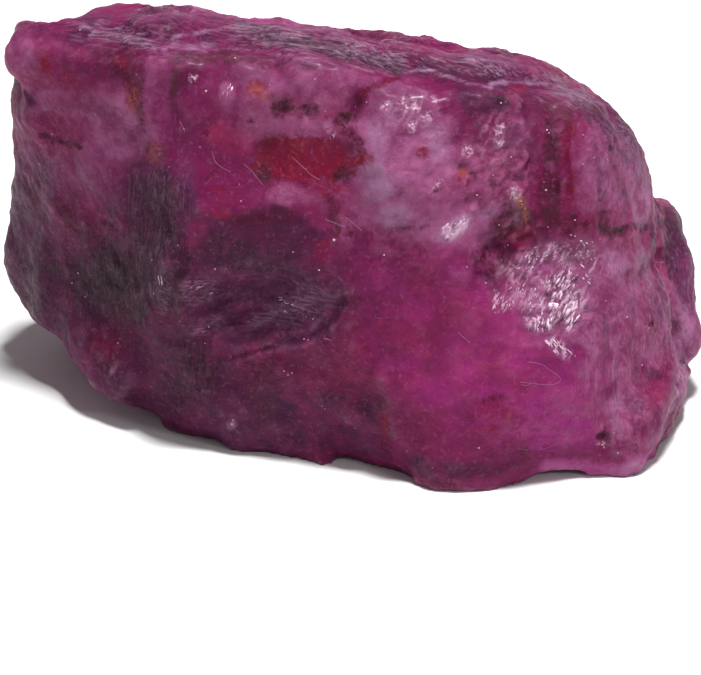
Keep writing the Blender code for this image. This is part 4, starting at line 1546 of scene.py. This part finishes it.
    def relief(self, w: Wiring, grains: Grains) -> Socket:
        """Makes the finest relief.

        Args:
            w: the material's wiring.
            grains: the pattern of each grain.

        Returns:
            The normal.
        """
        height = w.times(grains[Grain.MOTTLED], 0.014)
        for grain, depth in (
            (grains[Grain.CLOUDY], 0.02),
            (grains[F.SILK], 0.020),
            (grains[Grain.SPECKLED], 0.006),
            (w.times(grains[F.CHIPS], w.attribute(F.CHIPS.mask)), 0.03),
        ):
            height = w.math("ADD", height, w.times(grain, depth))
        return w.feed(w.node("Bump"), {"Strength": 1.0, "Distance": MM, "Height": height}).outputs[0]


@dataclass(frozen=True)
class GrainFinish:
    """The finish of the pale grains, chips and lint: pale and a little clouded, golden where a mask says. On
    grains and chips the pale colour mostly paints glints; on lint it is the lint's own colour.

    Attributes:
        name: the material's name.
        pale: its colour.
        dusk: the colour that it clouds to.
        gold: the colour of golden grains.
        roughness: how dull it is.
    """

    name: str = "grain_and_glint"
    pale: str = "#EBCDDE"
    dusk: str = "#8E4E7C"
    gold: str = "#C08A50"
    roughness: float = 0.32

    def build(self) -> bpy.types.Material:
        """Builds the material.

        Returns:
            The material.
        """
        material, w, shader = new_material(self.name)
        cloud = w.cloud(w.place(), 4.0, 3.0, 0.6, 0.35, 0.70)
        colour = w.mix(w.times(cloud, 0.5), linear(self.pale), linear(self.dusk))
        colour = w.mix(w.attribute("dim"), colour, linear(self.dusk))
        w.feed(shader, {
            "Base Color": w.mix(w.attribute("gold"), colour, linear(self.gold)),
            "Roughness": w.math("ADD", w.times(cloud, 0.2), self.roughness),
        })
        return material


@dataclass
class GrainsAndGlints:
    """Pale grains and chips all over the stone: a few crystal specks, most of them painted glints and
    highlights.

    Attributes:
        scattered: how many small ones lie anywhere on it.
        least: the smallest radius of those, in millimetres.
        most: the largest.
        flat: a grain's height over its width.
        seed: seed of their places.
        clear_of_base: how far above the base those lie, in millimetres.
        share: a listed pale grain's radius over that of its glint.
        spread: how far strokes lean from their zone's turn, in degrees.
        long: least and most length of a stroke, over the zone's.
        thick: least and most width of a stroke, over the zone's.
        slim: least and most width of a listed pale grain over its length.
        grit: least and most length of a scattered grain over its width.
        speck_and_glint_dim: least and most dimness of a listed pale grain.
        stroke_dim: least and most dimness of a stroke.
        grit_dim: least and most dimness of a scattered grain.
        name: the piece's name.
    """

    scattered: int = 200
    least: float = 0.008
    most: float = 0.024
    flat: float = 0.5
    seed: int = 7
    clear_of_base: float = 0.3
    share: float = 0.72
    spread: float = 9.0
    long: Range = (0.5, 1.3)
    thick: Range = (0.6, 1.3)
    slim: Range = (0.7, 1.0)
    grit: Range = (1.0, 1.8)
    speck_and_glint_dim: Range = (0.1, 0.85)
    stroke_dim: Range = (0.0, 0.75)
    grit_dim: Range = (0.45, 1.0)
    name: str = "grains_and_glints"

    def build(self, skin: Skin, finish: GrainFinish) -> bpy.types.Object:
        """Args:
            skin: the stone's surface.
            finish: what they look like.

        Returns:
            The finished piece.
        """
        dice = np.random.default_rng(self.seed)
        work = bmesh.new()
        work.verts.layers.float.new("gold")
        work.verts.layers.float.new("dim")
        step = 1.0 / FRONT.steps
        # listed pale grains, most of them painted glints
        for speck_and_glint in (SpeckAndGlint(*row) for row in SPECKS_AND_GLINTS):
            girth = self.share * speck_and_glint.radius * step
            dim = (1.0 - speck_and_glint.gold) * dice.uniform(*self.speck_and_glint_dim)
            half = (girth, girth * dice.uniform(*self.slim))
            self.add(work, *skin.spot(speck_and_glint.across, speck_and_glint.down), FRONT.right, half, speck_and_glint.gold, dim)
        # painted highlight strokes
        for s in GLINT_STROKES:
            for _ in range(s.count):
                out, way = math.sqrt(dice.uniform()), dice.uniform(0.0, math.tau)
                place = s.across + s.wide * out * math.cos(way), s.down + s.tall * out * math.sin(way)
                along = FRONT.along(math.radians(s.turn + dice.normal(0.0, self.spread)))
                half = (
                    0.5 * step * s.length * dice.uniform(*self.long),
                    0.5 * step * s.girth * dice.uniform(*self.thick),
                )
                self.add(work, *skin.spot(*place), along, half, 0.0, dice.uniform(*self.stroke_dim))
        free = np.flatnonzero(skin.points[:, 2] > self.clear_of_base)
        for n in dice.choice(free, self.scattered, replace=False):
            girth = self.least + (self.most - self.least) * dice.uniform() ** 2
            along = Vector(dice.normal(size=3))
            half = (girth * dice.uniform(*self.grit), girth)
            place, normal = Vector(skin.points[n]), Vector(skin.normals[n])
            self.add(work, place, normal, along, half, 0.0, dice.uniform(*self.grit_dim))
        bmesh.ops.scale(work, vec=(MM,) * 3, verts=work.verts)
        piece = added(self.name, poured(work, self.name))
        settle(piece, finish.build())
        return piece

    def add(
        self,
        work: bmesh.types.BMesh,
        place: Vector,
        normal: Vector,
        along: Vector,
        half: tuple[float, float],
        golden: float,
        dim: float,
    ) -> None:
        """Adds one grain, half sunk in the skin.

        Args:
            work: the mesh to add to.
            place: where the grain lies, in millimetres.
            normal: which way is out.
            along: which way it is long.
            half: half its length and half its width.
            golden: how golden it is.
            dim: how dim it is.
        """
        across = normal.cross(along).normalized()
        turn = Matrix((across.cross(normal), across, normal)).transposed().to_4x4()
        shape = Matrix.Diagonal((*half, self.flat * half[1], 1.0))
        made = bmesh.ops.create_icosphere(
            work, subdivisions=1, radius=1.0, matrix=Matrix.Translation(place) @ turn @ shape
        )
        for point in made["verts"]:
            point[work.verts.layers.float["gold"]] = golden
            point[work.verts.layers.float["dim"]] = dim


@dataclass
class Lint:
    """Thin pale fibres of lint that lie on the stone.

    Attributes:
        girth: half a fibre's thickness in millimetres.
        lift: how far its middle lies off the skin in millimetres.
        name: the piece's name.
    """

    girth: float = 0.007
    lift: float = 0.014
    name: str = "lint"

    def build(self, skin: Skin, finish: GrainFinish) -> bpy.types.Object:
        """Args:
            skin: the stone's surface.
            finish: what it looks like.

        Returns:
            The finished piece.
        """
        curve = bpy.data.curves.new(self.name, "CURVE")
        curve.dimensions, curve.resolution_u = "3D", 6
        curve.bevel_depth, curve.bevel_resolution, curve.use_fill_caps = self.girth * MM, 1, True
        for path in LINT:
            spline = curve.splines.new("NURBS")
            spline.points.add(len(path) - 1)
            spline.use_endpoint_u, spline.order_u = True, 3
            for knot, (across, down) in zip(spline.points, path):
                place, normal = skin.spot(across, down)
                knot.co = (*((place + normal * self.lift) * MM), 1.0)
        holder = added(self.name, curve)
        mesh = evaluated(holder)
        mesh.name = self.name
        bpy.data.objects.remove(holder)
        piece = added(self.name, mesh)
        settle(piece, finish.build())
        return piece


@dataclass(frozen=True)
class TableFinish:
    """Plain white matt table."""

    name: str = "white_table"
    colour: str = "#F4F4F4"

    def build(self) -> bpy.types.Material:
        """Builds the material.

        Returns:
            The material.
        """
        material, w, shader = new_material(self.name)
        w.feed(shader, {"Base Color": linear(self.colour), "Roughness": 0.9, "Specular IOR Level": 0.1})
        return material


def face(thing: bpy.types.Object, place: Vector, way: Vector) -> None:
    """Places and turns a lamp or camera.

    Args:
        thing: the lamp or camera.
        place: where it goes, in metres.
        way: which way it looks.
    """
    thing.location = place
    thing.rotation_mode = "QUATERNION"
    thing.rotation_quaternion = way.to_track_quat("-Z", "Y")


@dataclass(frozen=True)
class Lamp:
    """A soft square lamp: its place, side and aim are in metres, and its power is in watts."""

    name: str
    place: Spot
    side: float
    power: float
    aim: Spot = (0.0, 0.0, 0.006)

    def build(self) -> None:
        """Adds the lamp to the scene."""
        light = bpy.data.lights.new(self.name, "AREA")
        light.shape, light.size, light.energy = "SQUARE", self.side, self.power
        lamp = added(self.name, light)
        face(lamp, Vector(self.place), Vector(self.aim) - Vector(self.place))
        lamp.visible_camera = False


@dataclass
class Studio:
    """The white table, the soft light and the camera.

    Attributes:
        table: the table's side in metres.
        ambient: strength of the white surroundings.
        sensor: the camera's sensor width in millimetres.
        lamps: the lamps.
    """

    table: float = 3.0
    ambient: float = 0.18
    sensor: float = 36.0
    lamps: tuple[Lamp, ...] = (
        Lamp("overhead", (0.028, -0.035, 0.40), 0.06, 2.42),
        Lamp("front_right", (0.26, -0.21, 0.216), 0.05, 0.20),
    )

    def build(self, sight: Sight) -> None:
        """Builds the studio.

        Args:
            sight: where the camera looks from.
        """
        self.lay_table()
        self.surround()
        for lamp in self.lamps:
            lamp.build()
        self.place_camera(sight)
        bpy.context.scene.view_settings.view_transform = "Standard"

    def lay_table(self) -> None:
        """Lays the table under the stone."""
        work = bmesh.new()
        bmesh.ops.create_grid(work, x_segments=8, y_segments=8, size=self.table / 2)
        table = added("table", poured(work, "table"))
        table.data.materials.append(TableFinish().build())

    def surround(self) -> None:
        """Sets the white surroundings, which look brighter than they shine."""
        world = bpy.data.worlds.new("surroundings")
        world.use_nodes = True
        w = Wiring(world.node_tree)
        shine = w.times(w.node("LightPath").outputs["Is Camera Ray"], 1.0 - self.ambient)
        values = {"Color": (1.0, 1.0, 1.0, 1.0), "Strength": w.math("ADD", shine, self.ambient)}
        w.feed(world.node_tree.nodes["Background"], values)
        bpy.context.scene.world = world

    def place_camera(self, sight: Sight) -> None:
        """Places the camera in a sight.

        Args:
            sight: where it looks from.
        """
        camera = bpy.data.cameras.new("camera")
        camera.sensor_width = self.sensor
        camera.lens = self.sensor * sight.steps * sight.distance / sight.width
        camera.clip_start = 0.01
        holder = added("camera", camera)
        face(holder, sight.eye * MM, -sight.back)
        bpy.context.scene.camera = holder


def main() -> None:
    """Builds the stone and the studio, and reports each piece."""
    logging.basicConfig(level=logging.INFO, format="%(name)s: %(message)s")
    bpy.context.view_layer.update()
    stone, skin = RubyStone().build(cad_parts[NODE], RubyFinish())
    grains = GrainsAndGlints().build(skin, GrainFinish())
    lint = Lint().build(skin, GrainFinish("pale_lint", "#A0628A", "#82446C", roughness=0.7))
    for piece in (stone, grains, lint):
        LOG.info("%s: %d faces, %d points", piece.name, len(piece.data.polygons), len(piece.data.vertices))
    Studio().build(FRONT)
    LOG.info("studio: table, surroundings, lamps and camera")


if __name__ == "__main__":
    main()
